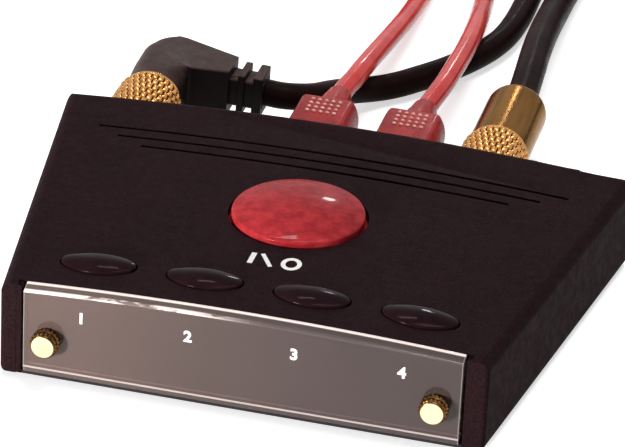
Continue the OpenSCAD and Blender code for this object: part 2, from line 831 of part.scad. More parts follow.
module plug_insulator() {
    translate([0, collar_bore_l - web_t, 0]) along_y() difference() {
        cylinder(d = collar_bore - 0.1, h = web_t);
        translate([0, 0, -over]) cylinder(d = pin_d + 0.1, h = web_t + 2 * over);
    }
}

tip_w = 6.4;
tip_l = 8;
neck_d = [7.4, 5.8];
grip_dot = [5, 3];
belly_r = (grip_h * grip_h / 4 + pow(grip_belly - grip_flat, 2)) / (2 * (grip_belly - grip_flat));

module optical_plug() {
    rotate([90, 0, 0]) translate([0, 0, -grip_l]) linear_extrude(grip_l) intersection() {
        translate([grip_belly - belly_r, 0]) circle(belly_r);
        translate([belly_r - grip_belly, 0]) circle(belly_r);
        square([2 * grip_belly + over, grip_h], center = true);
    }
    translate([0, grip_l - over, 0]) along_y() cylinder(d1 = neck_d[0], d2 = neck_d[1], h = neck_l + over);
    translate([-tip_w / 2, -tip_l, -tip_w / 2]) cube([tip_w, tip_l + over, tip_w]);
    translate([0, -tip_l - 1.5, 0]) along_y() cylinder(d = ferrule_d, h = 2);
    for (i = [0:grip_dot[0] - 1], j = [0:grip_dot[1] - 1])
        translate([(i - 2) * 1.9, grip_l - 3 - j * 3, grip_h / 2 - 0.2]) cylinder(d = 1.3, h = 0.55);
}

optical_plug_y = optical_face_y + 1;
plug_1_x = optical_x[1];
plug_2_x = optical_x[2];
angle_x = coax_x[0];
straight_x = coax_x[1];

elbow_w = 12.6;
elbow_h = 11;
elbow_y = 30.8;
elbow_r = 8;
// Rear and inner sides of the elbow at its corner, from the arm's axis
elbow_back = 9.5;
elbow_front = 5.8;
arm_l = 15.3;
arm_end_w = 8.6;
relief_l = 8;
relief_core = [6.6, 6.8];
fin_size = [8, 9.8];
// Fins of the strain relief as [distance from the arm's end, thickness]
relief_fins = [[2, 1.6], [5.6, 2.2]];
elbow_tilt = 2;
angle_d = 6.2;
straight_d = 7.2;
optical_d = 4.8;

// Where the angled plug's strain relief ends, and the way the lead leaves it
angle_out = [cos(elbow_tilt), 0, -sin(elbow_tilt)];
angle_exit = [angle_x, collar_y + elbow_y, axis_z] + (arm_l + relief_l) * angle_out;

module angle_plug_ring() {
    color([0.83, 0.62, 0.28]) translate([angle_x, collar_y, axis_z]) collar();
}

// Plan of the elbow: the leg from the ring, the tapering arm, and the rounded outer corner
module elbow_plan() {
    half = elbow_w / 2;
    leg_y = elbow_y - elbow_front - 2;
    corner = [-half, elbow_y + elbow_back];
    difference() {
        polygon([[-half, leg_y], [half, leg_y], [half, elbow_y - elbow_front],
            [arm_l, elbow_y - arm_end_w / 2], [arm_l, elbow_y + arm_end_w / 2],
            [elbow_r - half, elbow_y + elbow_back], corner]);
        difference() {
            translate(corner + [-over, -elbow_r]) square([elbow_r + over, elbow_r + over]);
            translate(corner + [elbow_r, -elbow_r]) circle(elbow_r);
        }
    }
}

module angle_plug_body() {
    color([0.07, 0.07, 0.07]) translate([angle_x, collar_y, axis_z]) rotate([0, elbow_tilt, 0]) {
        translate([0, collar_l, 0]) along_y() cylinder(d = elbow_w, h = elbow_y - elbow_front - collar_l);
        translate([0, 0, -elbow_h / 2]) linear_extrude(elbow_h) elbow_plan();
        translate([arm_l - over, elbow_y - relief_core[0] / 2, -relief_core[1] / 2])
            cube([relief_l + over, relief_core[0], relief_core[1]]);
        for (f = relief_fins) translate([arm_l + f[0], elbow_y - fin_size[0] / 2, -fin_size[1] / 2])
            cube([f[1], fin_size[0], fin_size[1]]);
    }
}

module straight_plug_collar() {
    color([0.83, 0.62, 0.28]) translate([straight_x, collar_y, axis_z]) collar();
}

module straight_plug_barrel() {
    color([0.88, 0.68, 0.34]) translate([straight_x, collar_y, axis_z]) barrel();
}

module plug_pins() {
    color([0.83, 0.66, 0.3]) for (x = coax_x) translate([x, collar_y, axis_z]) plug_pin(-0.2);
}

module plug_insulators() {
    color([0.9, 0.9, 0.88]) for (x = coax_x) translate([x, collar_y, axis_z]) plug_insulator();
}

// Leads: each has a free stretch along points chosen by hand, then a coil and its far plug

function unit(v) = v / norm(v);
function heading(p, i) = unit(p[min(i + 1, len(p) - 1)] - p[max(i - 1, 0)]);
function ring(c, t, d, sides) = let (s = unit(cross(t, [0, 0, 1])), u = cross(s, t))
    [for (j = [0:sides - 1]) let (a = 360 * (j + 0.5) / sides) c + d / 2 * (cos(a) * s + sin(a) * u)];

// One unbroken tube of triangles along the points p
module tube(p, d, sides) {
    n = len(p);
    k = sides;
    side_faces = [for (i = [0:n - 2], j = [0:k - 1], h = [0, 1])
        let (a = i * k + j, b = i * k + (j + 1) % k)
        h == 0 ? [a, b, b + k] : [a, b + k, a + k]];
    caps = [for (j = [1:k - 2], h = [0, 1])
        let (e = (n - 1) * k) h == 0 ? [0, j + 1, j] : [e, e + j, e + j + 1]];
    polyhedron(points = [for (i = [0:n - 1]) each ring(p[i], heading(p, i), d, k)],
        faces = concat(side_faces, caps));
}

// A coil is [centre, way round, turns, mean radius, lead diameter]; way round 1 starts at its right
// side and turns to the left, -1 starts at its left side and turns to the right
lift = 0.6;
layer_gap = 0.5;
turn_gap = 0.6;
loop_rings = 24;
function coil_way(c) = c[1];
function coil_turns(c) = c[2];
function coil_d(c) = c[4];
function coil_pitch(c) = coil_d(c) + turn_gap;
function coil_outer(c) = c[3] + coil_pitch(c) * coil_turns(c) / 4;
function coil_low(c) = coil_d(c) / 2 + lift;
function coil_high(c) = coil_low(c) + coil_d(c) + layer_gap;
function smooth(t) = let (x = max(0, min(1, t))) x * x * (3 - 2 * x);
function coil_angle(c, t) = (coil_way(c) > 0 ? 0 : 180) + coil_way(c) * 360 * t;
function coil_radius(c, t) = coil_outer(c) - coil_pitch(c) * min(t, coil_turns(c) - t);
function coil_point(c, t) = let (a = coil_angle(c, t), r = coil_radius(c, t))
    [c[0][0] + r * cos(a), c[0][1] + r * sin(a),
     coil_low(c) + (coil_high(c) - coil_low(c)) * smooth((t - coil_turns(c) / 2 + 0.25) / 0.5)];
function coil_loops(c) = let (n = ceil(loop_rings * coil_turns(c)))
    [for (i = [0:n]) coil_point(c, coil_turns(c) * i / n)];
function coil_start(c) = coil_point(c, 0) - [0, coil_d(c), 0];
function coil_out_angle(c) = coil_angle(c, coil_turns(c)) + coil_way(c) * 90;
function coil_out(c) = let (a = coil_out_angle(c))
    coil_point(c, coil_turns(c)) + coil_d(c) * [cos(a), sin(a), 0];
function coil_path(c, tail) = concat([coil_start(c)], coil_loops(c), [coil_out(c)], tail);

// Least gap of a coil to itself, over pairs of points more than half a turn apart
function self_gap(c) = let (p = coil_loops(c), n = len(p) - 1, apart = floor(n / coil_turns(c) / 2))
    min([for (i = [0:n - apart - 1], j = [i + apart + 1:n]) norm(p[i] - p[j])]) - coil_d(c);

// Straight run of the tail to a far plug, level with it at its end
function straight_tail(c, run, z) = let (a = coil_out_angle(c), p = coil_out(c))
    [for (i = [1:4]) let (s = min(i / 3, 1), far = i < 4 ? run * s : run + coil_d(c))
        [p[0] + far * cos(a), p[1] + far * sin(a), p[2] + (z - p[2]) * smooth(s)]];

far_coax_z = collar_d / 2 + 0.1;
far_optical_z = grip_h / 2 + 0.1;

angle_coil_at = [[43.65, 318], -1, 2.25, 24.7, angle_d];
straight_coil_at = [[58.8, 249], -1, 2.5, 28.1, straight_d];
optical_coil_1_at = [[-33, 222], 1, 2.25, 22, optical_d];
optical_coil_2_at = [[-21, 285], 1, 2, 20.9, optical_d];

angle_route = [
    [-23, 120.8, 10.9], [-19, 122.8, 10.3], [-16.2, 126.6, 9.2], [-14.2, 131.6, 7.8], [-12, 136.6, 6.3],
    [-9.6, 140.8, 5], [-6.8, 144.4, 4.1], [-4, 147.4, 3.7], [-1.2, 150.2, 3.7], [1.4, 153.4, 3.7],
    [4.1, 156.8, 3.7], [6.7, 160.4, 3.7], [9.2, 164.4, 3.7], [11.5, 168.6, 3.7], [13.5, 173, 3.7],
    [15.2, 177.6, 3.7], [16.5, 183, 3.7], [17.3, 190, 3.7], [17.6, 199, 3.7], [17.4, 210, 3.7],
    [16.9, 222, 3.7], [16.3, 234, 3.7], [15.8, 246, 3.7], [15.4, 259, 3.7], [15.2, 272, 3.7],
    [15.1, 285, 3.7], [15.1, 295, 3.7], [15.1, 304, 3.7]
];
straight_route = [
    [29.7, 137, 12], [29.3, 143, 12], [28.8, 150, 11.9], [28.2, 157, 11.5], [27.6, 165, 10.9],
    [27.1, 173, 10], [26.7, 181, 9], [26.4, 189, 7.8], [26.1, 197, 6.6], [25.9, 205, 5.6],
    [25.85, 214, 4.7], [25.85, 224, 4.3], [25.85, 233, 4.2]
];
optical_route_1 = [
    [-9.6, 128, 12], [-9, 132, 12], [-8.6, 137, 11.9], [-8.2, 143, 11.5], [-7.8, 150, 10.8],
    [-7.5, 157, 9.9], [-7.3, 164, 8.9], [-7.2, 171, 7.8], [-7.2, 178, 6.6], [-7.3, 185, 5.5],
    [-7.5, 192, 4.4], [-7.7, 199, 3.5], [-7.9, 207, 3.1]
];
optical_route_2 = [
    [10.5, 128, 12], [10.9, 132, 12], [11.3, 137, 11.9], [11.5, 143, 11.7], [11.6, 150, 11.3],
    [11.6, 157, 10.8], [11.4, 164, 10.2], [11, 171, 9.4], [10.4, 178, 8.4], [9.6, 185, 7.1],
    [8.7, 192, 5.7], [7.7, 200, 4.4], [6.6, 208, 3.5], [5.5, 217, 3.1], [4.5, 226, 3],
    [3.7, 236, 3], [3.1, 246, 3], [2.7, 256, 3], [2.6, 265, 3], [2.6, 273, 3]
];
// The first optical lead turns back past its coil before its far plug
optical_tail_1 = [[-43.5, 247.6, 7.6], [-48.5, 249.6, 6.9], [-52.4, 253.4, 6.1], [-54.9, 258.4, 5.4],
    [-55.9, 264, 5.1], [-56, 268, 5.1], [-56, 272, 5.1]];

angle_tail = straight_tail(angle_coil_at, 5, far_coax_z);
straight_tail_pts = straight_tail(straight_coil_at, 9, far_coax_z);
optical_tail_2 = straight_tail(optical_coil_2_at, 5, far_optical_z);

// The routes are drawn for sockets route_pitch apart. Where the sockets are closer or wider, a route
// starts with its plug and comes back to the drawn points on its way to the coil
route_pitch = 20;
route_back = [125, 205];
function led(route, place) = let (shift = place * (socket_pitch - route_pitch))
    [for (p = route)
        p + [shift * (1 - smooth((p[1] - route_back[0]) / (route_back[1] - route_back[0]))), 0, 0]];

straight_exit = [straight_x, collar_y + collar_l + barrel_l, axis_z];
optical_exit_1 = [plug_1_x, optical_plug_y + grip_l + neck_l, axis_z];
optical_exit_2 = [plug_2_x, optical_plug_y + grip_l + neck_l, axis_z];
angle_points = concat([angle_exit], led(angle_route, -2.5), [coil_start(angle_coil_at)]);
straight_points = concat([straight_exit], led(straight_route, 1.5), [coil_start(straight_coil_at)]);
optical_points_1 = concat([optical_exit_1], led(optical_route_1, -0.5), [coil_start(optical_coil_1_at)]);
optical_points_2 = concat([optical_exit_2], led(optical_route_2, 0.5), [coil_start(optical_coil_2_at)]);

function path_l(p) = [for (i = [1:len(p) - 1]) norm(p[i] - p[i - 1])] * [for (i = [1:len(p) - 1]) 1];

black_lead = [0.06, 0.06, 0.065];
red_lead = [0.72, 0.16, 0.15];

module angle_lead() {
    color(black_lead) tube(angle_points, angle_d, 8);
}

module angle_coil() {
    color(black_lead) tube(coil_path(angle_coil_at, angle_tail), angle_d, 6);
}

module straight_lead() {
    color(black_lead) tube(straight_points, straight_d, 8);
}

module straight_coil() {
    color(black_lead) tube(coil_path(straight_coil_at, straight_tail_pts), straight_d, 6);
}

module optical_lead_1() {
    color(red_lead) tube(optical_points_1, optical_d, 8);
}

module optical_lead_2() {
    color(red_lead) tube(optical_points_2, optical_d, 8);
}

module optical_coil_1() {
    color(red_lead) tube(coil_path(optical_coil_1_at, optical_tail_1), optical_d, 6);
}

module optical_coil_2() {
    color(red_lead) tube(coil_path(optical_coil_2_at, optical_tail_2), optical_d, 6);
}

// Sets a plug of length l at the end of a tail, its cable end on the tail's last point
module at_tail(tail, l) {
    p = tail[len(tail) - 1];
    way = unit(p - tail[len(tail) - 2]);
    translate([p[0] + l * way[0], p[1] + l * way[1], p[2]]) rotate([0, 0, atan2(way[1], way[0]) + 90])
        children();
}

module coax_far_plug() {
    color([0.83, 0.62, 0.28]) {
        collar();
        barrel();
        plug_pin(1);
    }
}

module angle_far_plug() {
    at_tail(angle_tail, collar_l + barrel_l) coax_far_plug();
}

module straight_far_plug() {
    at_tail(straight_tail_pts, collar_l + barrel_l) coax_far_plug();
}

module optical_plug_1() {
    color(red_lead) translate([plug_1_x, optical_plug_y, axis_z]) optical_plug();
}

module optical_plug_2() {
    color(red_lead) translate([plug_2_x, optical_plug_y, axis_z]) optical_plug();
}

module optical_far_plug_1() {
    color(red_lead) at_tail(optical_tail_1, grip_l + neck_l) optical_plug();
}

module optical_far_plug_2() {
    color(red_lead) at_tail(optical_tail_2, grip_l + neck_l) optical_plug();
}

tie_w = 4;
tie_t = 0.4;
tie_gap = 0.15;
// Ties as [coil, angle round the coil]
ties = [[angle_coil_at, 0], [straight_coil_at, 45], [optical_coil_1_at, 180], [optical_coil_2_at, 180]];

module coil_tie(c, a) {
    d = coil_d(c);
    inner = coil_outer(c) - coil_pitch(c) * coil_turns(c) / 2 - d / 2;
    w = coil_outer(c) + d / 2 - inner;
    h = coil_high(c) + d / 2 - lift;
    translate([c[0][0], c[0][1], lift + h / 2]) rotate(a) translate([inner + w / 2, 0, 0])
        rotate([90, 0, 0])
        linear_extrude(tie_w, center = true) difference() {
            round_rect(w + 2 * (tie_gap + tie_t), h + 2 * (tie_gap + tie_t), 1 + tie_t);
            round_rect(w + 2 * tie_gap, h + 2 * tie_gap, 1);
        }
}

module coil_ties() {
    color([0.2, 0.2, 0.2]) for (t = ties) coil_tie(t[0], t[1]);
}

echo(least_coil_gaps = [for (c = [angle_coil_at, straight_coil_at, optical_coil_1_at,
    optical_coil_2_at]) self_gap(c)]);
echo(lead_lengths = [
    path_l(angle_points) + path_l(coil_path(angle_coil_at, angle_tail)),
    path_l(straight_points) + path_l(coil_path(straight_coil_at, straight_tail_pts)),
    path_l(optical_points_1) + path_l(coil_path(optical_coil_1_at, optical_tail_1)),
    path_l(optical_points_2) + path_l(coil_path(optical_coil_2_at, optical_tail_2))
]);

// Moves the design frame so that the origin is under the middle of the box
module placed() {
    translate([0, -y_mid, 0]) children();
}

placed() top_cover();
placed() base_tray();
placed() rear_panel();
placed() front_panel();
placed() panel_backing();
placed() rubber_feet();
placed() case_screws();
placed() thread_inserts();
placed() main_board();
placed() control_board();
placed() board_screws();
placed() switch_bodies();
placed() power_switch();
placed() button_leds();
placed() board_chips();
placed() board_capacitors();
placed() board_link();
placed() optical_sockets();
placed() open_shutters();
placed() socket_shutter();
placed() coax_bodies();
placed() coax_shells();
placed() coax_insulators();
placed() coax_contacts();
placed() dc_inlet();
placed() dc_pin();
placed() power_button();
placed() power_plunger();
placed() source_button(source_x[0]);  // source_button_1
placed() source_button(source_x[1]);  // source_button_2
placed() source_button(source_x[2]);  // source_button_3
placed() source_button(source_x[3]);  // source_button_4
placed() switch_plunger(source_x[0]);  // switch_plunger_1
placed() switch_plunger(source_x[1]);  // switch_plunger_2
placed() switch_plunger(source_x[2]);  // switch_plunger_3
placed() switch_plunger(source_x[3]);  // switch_plunger_4
placed() thumbscrew(-1);  // left_thumbscrew
placed() thumbscrew(1);  // right_thumbscrew
placed() angle_plug_ring();
placed() angle_plug_body();
placed() angle_lead();
placed() angle_coil();
placed() angle_far_plug();
placed() straight_plug_collar();
placed() straight_plug_barrel();
placed() straight_lead();
placed() straight_coil();
placed() straight_far_plug();
placed() plug_pins();
placed() plug_insulators();
placed() optical_plug_1();
placed() optical_plug_2();
placed() optical_lead_1();
placed() optical_lead_2();
placed() optical_coil_1();
placed() optical_coil_2();
placed() optical_far_plug_1();
placed() optical_far_plug_2();
placed() coil_ties();
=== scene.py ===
"""Looks of a desktop audio source switcher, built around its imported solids.

Units are metres in the part's own frame. Sizes that part.scad gives in millimetres are
written in millimetres here too and turned into metres by MM.
"""

import json
import math

import bpy
import numpy as np
from mathutils import Matrix, Vector


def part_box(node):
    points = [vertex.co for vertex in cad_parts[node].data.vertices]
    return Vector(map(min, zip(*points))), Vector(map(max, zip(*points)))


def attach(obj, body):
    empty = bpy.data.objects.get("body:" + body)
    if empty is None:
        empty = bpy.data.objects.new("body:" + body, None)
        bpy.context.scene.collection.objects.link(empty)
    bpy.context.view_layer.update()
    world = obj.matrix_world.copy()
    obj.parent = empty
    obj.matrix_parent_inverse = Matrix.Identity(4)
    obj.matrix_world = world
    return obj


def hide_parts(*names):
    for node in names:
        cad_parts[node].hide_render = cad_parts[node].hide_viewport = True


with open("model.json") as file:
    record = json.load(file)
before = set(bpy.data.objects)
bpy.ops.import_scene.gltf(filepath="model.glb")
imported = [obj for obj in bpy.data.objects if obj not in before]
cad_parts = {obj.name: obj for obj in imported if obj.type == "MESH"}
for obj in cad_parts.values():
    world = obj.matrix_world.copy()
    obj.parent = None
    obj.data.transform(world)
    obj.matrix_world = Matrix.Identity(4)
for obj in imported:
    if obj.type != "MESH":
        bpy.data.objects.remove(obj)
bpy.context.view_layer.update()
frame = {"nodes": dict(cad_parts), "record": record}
nodes = frame["nodes"]

MM = 0.001
TAU = 2 * math.pi

# The design frame of part.scad starts at the front of the side walls
cover_low, cover_high = (np.array(corner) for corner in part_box("top_cover"))
FRONT_Y = cover_low[1]
TOP_Z = cover_high[2]
CROWN_R = 800 * MM


def place(points):
    """Points in millimetres of the design frame, moved into the part's frame in metres."""
    return np.asarray(points, float) * MM + (0, FRONT_Y, 0)


def skin_z(x):
    """Height of the crowned top over x: a circle of radius CROWN_R with its highest point over the middle."""
    return TOP_Z - (CROWN_R - np.sqrt(CROWN_R**2 - np.square(x)))


def smooth(t):
    """Smooth step: 3 t squared less 2 t cubed, held at 0 and 1 outside the range."""
    t = np.clip(t, 0, 1)
    return t * t * (3 - 2 * t)


# Meshes


SHARP_ANGLE = math.radians(38)


def add_object(name, data):
    """A new object in the scene, at the origin."""
    piece = bpy.data.objects.new(name, data)
    bpy.context.scene.collection.objects.link(piece)
    return piece


def mesh_piece(name, parts, finish, body="case"):
    """One object from a list of (points, faces) pairs, riding on a body, with smooth shading by angle."""
    vertices = np.concatenate([points for points, faces in parts])
    starts = np.cumsum([0] + [len(points) for points, faces in parts])
    faces = [[start + i for i in face] for start, part in zip(starts, parts) for face in part[1]]
    mesh = bpy.data.meshes.new(name)
    mesh.from_pydata(vertices.tolist(), [], faces)
    mesh.validate()
    mesh.materials.append(finishes[finish])
    mesh.shade_smooth()
    mesh.set_sharp_from_angle(angle=SHARP_ANGLE)
    piece = add_object(name, mesh)
    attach(piece, body)
    return piece


def grid(points, close_rows=False, cap_start=False, cap_end=False):
    """Faces of a surface given as rows of points; each row closes on itself when close_rows is set.

    A cap closes the first or last row with one face. Rows run so that faces look outwards when each
    row turns anticlockwise seen from the side that later rows lie on.
    """
    points = np.asarray(points, float)
    rows, columns = points.shape[:2]
    index = np.arange(rows * columns).reshape(rows, columns)
    right = np.roll(index, -1, axis=1)
    used = slice(None) if close_rows else slice(None, -1)
    left, right = index[:, used], right[:, used]
    faces = np.stack([left[:-1], right[:-1], right[1:], left[1:]], axis=-1).reshape(-1, 4).tolist()
    if cap_start:
        faces.append(index[0, ::-1].tolist())
    if cap_end:
        faces.append(index[-1].tolist())
    return points.reshape(-1, 3), faces


def solid_form(rows):
    """Faces of a closed form: rows that close on themselves, with both ends capped."""
    return grid(rows, close_rows=True, cap_start=True, cap_end=True)


def turned(profile, count=72):
    """A surface of revolution about +Y: profile rows are (radius, y), from the first end to the last."""
    profile = np.asarray(profile, float)
    angle = np.arange(count) / count * TAU
    radius = profile[:, 0, None]
    x = radius * np.cos(angle)
    z = -radius * np.sin(angle)
    y = np.broadcast_to(profile[:, 1, None], x.shape)
    return np.stack([x, y, z], axis=-1)


def arc(centre, radius, start, stop, count):
    """Points of a circle's arc between two angles in degrees."""
    angle = np.radians(np.linspace(start, stop, count))
    return np.stack([centre[0] + radius * np.cos(angle), centre[1] + radius * np.sin(angle)], axis=-1)


def evenly(outline, count, soften):
    """A closed outline resampled at even steps, then averaged over the neighbours within soften."""
    outline = np.asarray(outline, float)
    closed = np.concatenate([outline, outline[:1]])
    steps = np.concatenate([[0], np.cumsum(np.linalg.norm(np.diff(closed, axis=0), axis=1))])
    at = np.linspace(0, steps[-1], count, endpoint=False)
    even = np.stack([np.interp(at, steps, closed[:, k]) for k in (0, 1)], axis=-1)
    reach = max(1, int(round(soften / steps[-1] * count)))
    weights = np.hanning(2 * reach + 3)[1:-1]
    weights = weights / weights.sum()
    shifts = range(-reach, reach + 1)
    return sum(w * np.roll(even, s, axis=0) for w, s in zip(weights, shifts))


def outward(outline):
    """Unit normals of a closed anticlockwise outline: its central-difference tangents turned to the right."""
    along = np.roll(outline, -1, axis=0) - np.roll(outline, 1, axis=0)
    along = along / np.linalg.norm(along, axis=1, keepdims=True)
    return np.stack([along[:, 1], -along[:, 0]], axis=-1)


FLAT_RING = 0.15
QUARTER_STEPS = 7


def rounded_prism(outline, low, high, radius):
    """An outline carried up from low to high whose edges are quarter circles; the radius may vary along it.

    Each level is the outline drawn in along its normals by radius times one less the sine of the arc's
    angle. A last ring, FLAT_RING further in, keeps each end flat. Lengths are in millimetres.
    """
    normal = outward(outline)
    radius = np.broadcast_to(radius, len(outline))
    quarter = np.radians(np.linspace(0, 90, QUARTER_STEPS))
    sink = np.concatenate([1 - np.sin(quarter), 1 - np.cos(quarter)])
    rise = np.concatenate([1 - np.cos(quarter), 1 - np.sin(quarter)])
    inset = sink[:, None] * radius
    inset = np.concatenate([inset[:1] + FLAT_RING, inset, inset[-1:] + FLAT_RING])
    rise = rise[:, None] * radius
    lower, upper = rise[:QUARTER_STEPS], rise[QUARTER_STEPS:]
    level = np.concatenate([low + lower[:1], low + lower, high - upper, high - upper[-1:]])
    flat = outline[None] - inset[..., None] * normal[None]
    return np.concatenate([flat, level[..., None]], axis=-1)


# Materials, each kept under its name, which is also the name of its slot in the record

finishes = {}
CLOUD_RANGE = (0.32, 0.68)
SHEEN_RANGE = (0.3, 0.7)


def linear(red, green, blue):
    """A display colour from 0 to 255 turned into scene-linear values."""
    value = np.array([red, green, blue]) / 255
    low = value / 12.92
    high = ((value + 0.055) / 1.055) ** 2.4
    return tuple(np.where(value <= 0.04045, low, high)) + (1.0,)


class Finish:
    """A material with one Principled shader, fed by noise on Object coordinates.

    The noise gives its colour, roughness and relief. Values that are the same all over are set on the
    shader's own sockets.
    """

    def __init__(self, name, **sockets):
        finishes[name] = bpy.data.materials.new(name)
        finishes[name].use_nodes = True
        self.tree = finishes[name].node_tree
        self.shader = self.tree.nodes["Principled BSDF"]
        self.where = self.tree.nodes.new("ShaderNodeTexCoord").outputs["Object"]
        for socket, value in sockets.items():
            self.shader.inputs[socket.replace("_", " ")].default_value = value

    def link(self, source, target):
        """An output socket joined to an input socket."""
        self.tree.links.new(source, target)

    def noise(self, size, detail=3.0, roughness=0.5, stretch=(1, 1, 1)):
        """Noise whose features are about size metres across, drawn out along an axis by stretch."""
        mapping = self.tree.nodes.new("ShaderNodeMapping")
        mapping.inputs["Scale"].default_value = tuple(1 / (size * s) for s in stretch)
        self.link(self.where, mapping.inputs["Vector"])
        texture = self.tree.nodes.new("ShaderNodeTexNoise")
        texture.inputs["Scale"].default_value = 1.0
        texture.inputs["Detail"].default_value = detail
        texture.inputs["Roughness"].default_value = roughness
        self.link(mapping.outputs["Vector"], texture.inputs["Vector"])
        return texture.outputs["Fac"]

    def sums(self, operation, first, second):
        """A math node on two inputs, each a socket or a plain number."""
        node = self.tree.nodes.new("ShaderNodeMath")
        node.operation = operation
        for value, target in zip((first, second), node.inputs):
            if isinstance(value, (int, float)):
                target.default_value = value
            else:
                self.link(value, target)
        return node.outputs[0]

    def ranged(self, value, from_low, from_high, low, high):
        """A value mapped from one range to another, held at its ends, with a smooth step between."""
        node = self.tree.nodes.new("ShaderNodeMapRange")
        node.interpolation_type = "SMOOTHSTEP"
        ends = {"From Min": from_low, "From Max": from_high, "To Min": low, "To Max": high}
        for socket, end in ends.items():
            node.inputs[socket].default_value = end
        self.link(value, node.inputs["Value"])
        return node.outputs["Result"]

    def band(self, value, low, high, soft):
        """1 where a value lies between low and high, fading to 0 over soft at both ends."""
        rise = self.ranged(value, low - soft, low, 0.0, 1.0)
        fall = self.ranged(value, high, high + soft, 1.0, 0.0)
        return self.sums("MULTIPLY", rise, fall)

    def axes(self):
        """The three Object coordinates as sockets."""
        node = self.tree.nodes.new("ShaderNodeSeparateXYZ")
        self.link(self.where, node.inputs[0])
        return node.outputs

    def mixed(self, share, first, second):
        """A colour between two, each a socket or a colour, by a share from 0 to 1."""
        node = self.tree.nodes.new("ShaderNodeMix")
        node.data_type = "RGBA"
        self.link(share, node.inputs["Factor"])
        for value, target in zip((first, second), (node.inputs[6], node.inputs[7])):
            if isinstance(value, tuple):
                target.default_value = value
            else:
                self.link(value, target)
        return node.outputs[2]

    def cloudy(self, value, first, second):
        """A colour mixed between two by a noise value."""
        return self.mixed(self.ranged(value, *CLOUD_RANGE, 0.0, 1.0), first, second)

    def colour(self, source):
        """The base colour taken from a socket."""
        self.link(source, self.shader.inputs["Base Color"])

    def dull(self, value, low, high):
        """Roughness between low and high by a noise value."""
        self.link(self.ranged(value, *SHEEN_RANGE, low, high), self.shader.inputs["Roughness"])

    def flat(self):
        """Shading by each face's own normal, for sheets with sharp edges."""
        geometry = self.tree.nodes.new("ShaderNodeNewGeometry")
        self.link(geometry.outputs["True Normal"], self.shader.inputs["Normal"])

    def relief(self, value, depth, strength=1.0, edge=0.0):
        """Bump of the given depth in metres, over edges softened to the given radius."""
        bump = self.tree.nodes.new("ShaderNodeBump")
        bump.inputs["Distance"].default_value = depth
        bump.inputs["Strength"].default_value = strength
        self.link(value, bump.inputs["Height"])
        if edge:
            bevel = self.tree.nodes.new("ShaderNodeBevel")
            bevel.samples = 6
            bevel.inputs["Radius"].default_value = edge
            self.link(bevel.outputs["Normal"], bump.inputs["Normal"])
        self.link(bump.outputs["Normal"], self.shader.inputs["Normal"])


def moulded(name, colour, second, patch, grain, depth, rough, edge=0.0, **sockets):
    """Moulded plastic or rubber: cloudy colour, a fine grain in relief and a sheen that varies a little.

    Sizes of the patches, the grain, its depth and the softened edge are in millimetres.
    """
    finish = Finish(name, **sockets)
    finish.colour(finish.cloudy(finish.noise(patch * MM, 4.0, 0.6), linear(*colour), linear(*second)))
    finish.dull(finish.noise(patch * MM * 0.4, 3.0), *rough)
    finish.relief(finish.noise(grain * MM, 2.0, 0.6), depth * MM, edge=edge * MM)


def metal(name, colour, second, patch, scratch, depth, rough, stretch=(1, 1, 1), **sockets):
    """Plated or plain metal: slightly uneven colour and fine drawn-out tool marks, sizes in millimetres.

    A stretch draws the colour out too, into long light and dark bands that are a painted reflection.
    """
    finish = Finish(name, Metallic=1.0, **sockets)
    cloud = finish.noise(patch * MM, 3.0, 0.5, stretch)
    finish.colour(finish.cloudy(cloud, linear(*colour), linear(*second)))
    finish.dull(finish.noise(patch * MM * 0.5, 4.0), *rough)
    finish.relief(finish.noise(scratch * MM, 2.0, 0.5, stretch), depth * MM, 0.6)


def case_finish():
    """Matt black-brown moulding with a fine speckled grain in its colour and its relief."""
    finish = Finish("case_black", Specular_IOR_Level=0.012)
    speckle = finish.noise(0.45 * MM, 3.0, 0.7)
    cloud = finish.cloudy(finish.noise(9 * MM, 3.0), linear(29, 16, 19), linear(34, 20, 22))
    grain = finish.cloudy(speckle, linear(16, 7, 10), linear(47, 31, 33))
    half = finish.ranged(finish.noise(3 * MM), 0.3, 0.7, 0.35, 0.65)
    finish.colour(finish.mixed(half, cloud, grain))
    finish.dull(finish.noise(2 * MM), 0.55, 0.68)
    finish.relief(speckle, 0.03 * MM, edge=0.25 * MM)


moulded("tray_black", (34, 31, 33), (41, 38, 40), 4, 0.5, 0.05, (0.55, 0.7), Specular_IOR_Level=0.1)
moulded("rear_black", (30, 29, 30), (38, 36, 37), 4, 0.4, 0.04, (0.45, 0.6), Specular_IOR_Level=0.1)
moulded("foot_rubber", (26, 26, 26), (38, 37, 36), 2, 0.3, 0.06, (0.7, 0.85))
moulded("button_black", (26, 12, 16), (32, 17, 21), 4, 0.6, 0.001, (0.08, 0.12),
        Specular_IOR_Level=0.025, Specular_Tint=(1.0, 0.6, 0.7, 1.0))
moulded("switch_black", (32, 32, 34), (42, 42, 44), 2, 0.3, 0.02, (0.45, 0.6))
moulded("switch_cream", (214, 206, 186), (222, 214, 197), 2, 0.3, 0.01, (0.4, 0.5))
moulded("chip_black", (28, 28, 30), (36, 36, 38), 1, 0.2, 0.02, (0.5, 0.65))
moulded("socket_black", (24, 24, 25), (32, 32, 33), 3, 0.3, 0.02, (0.4, 0.55), edge=0.2)
moulded("shutter_grey", (62, 62, 66), (74, 74, 78), 2, 0.3, 0.02, (0.4, 0.5))
moulded("socket_white", (222, 221, 215), (230, 229, 225), 2, 0.3, 0.01, (0.4, 0.5))
moulded("lead_black", (26, 14, 14), (34, 20, 20), 7, 2.5, 0.05, (0.3, 0.4), Specular_IOR_Level=0.015)
moulded("lead_red", (206, 40, 44), (222, 66, 58), 8, 0.8, 0.01, (0.16, 0.26),
        Specular_IOR_Level=0.12, Coat_Weight=0.15, Coat_Roughness=0.1)
moulded("plug_red", (148, 28, 33), (174, 46, 46), 6, 0.35, 0.012, (0.24, 0.34),
        Specular_IOR_Level=0.04, Coat_Weight=0.05, Coat_Roughness=0.18)
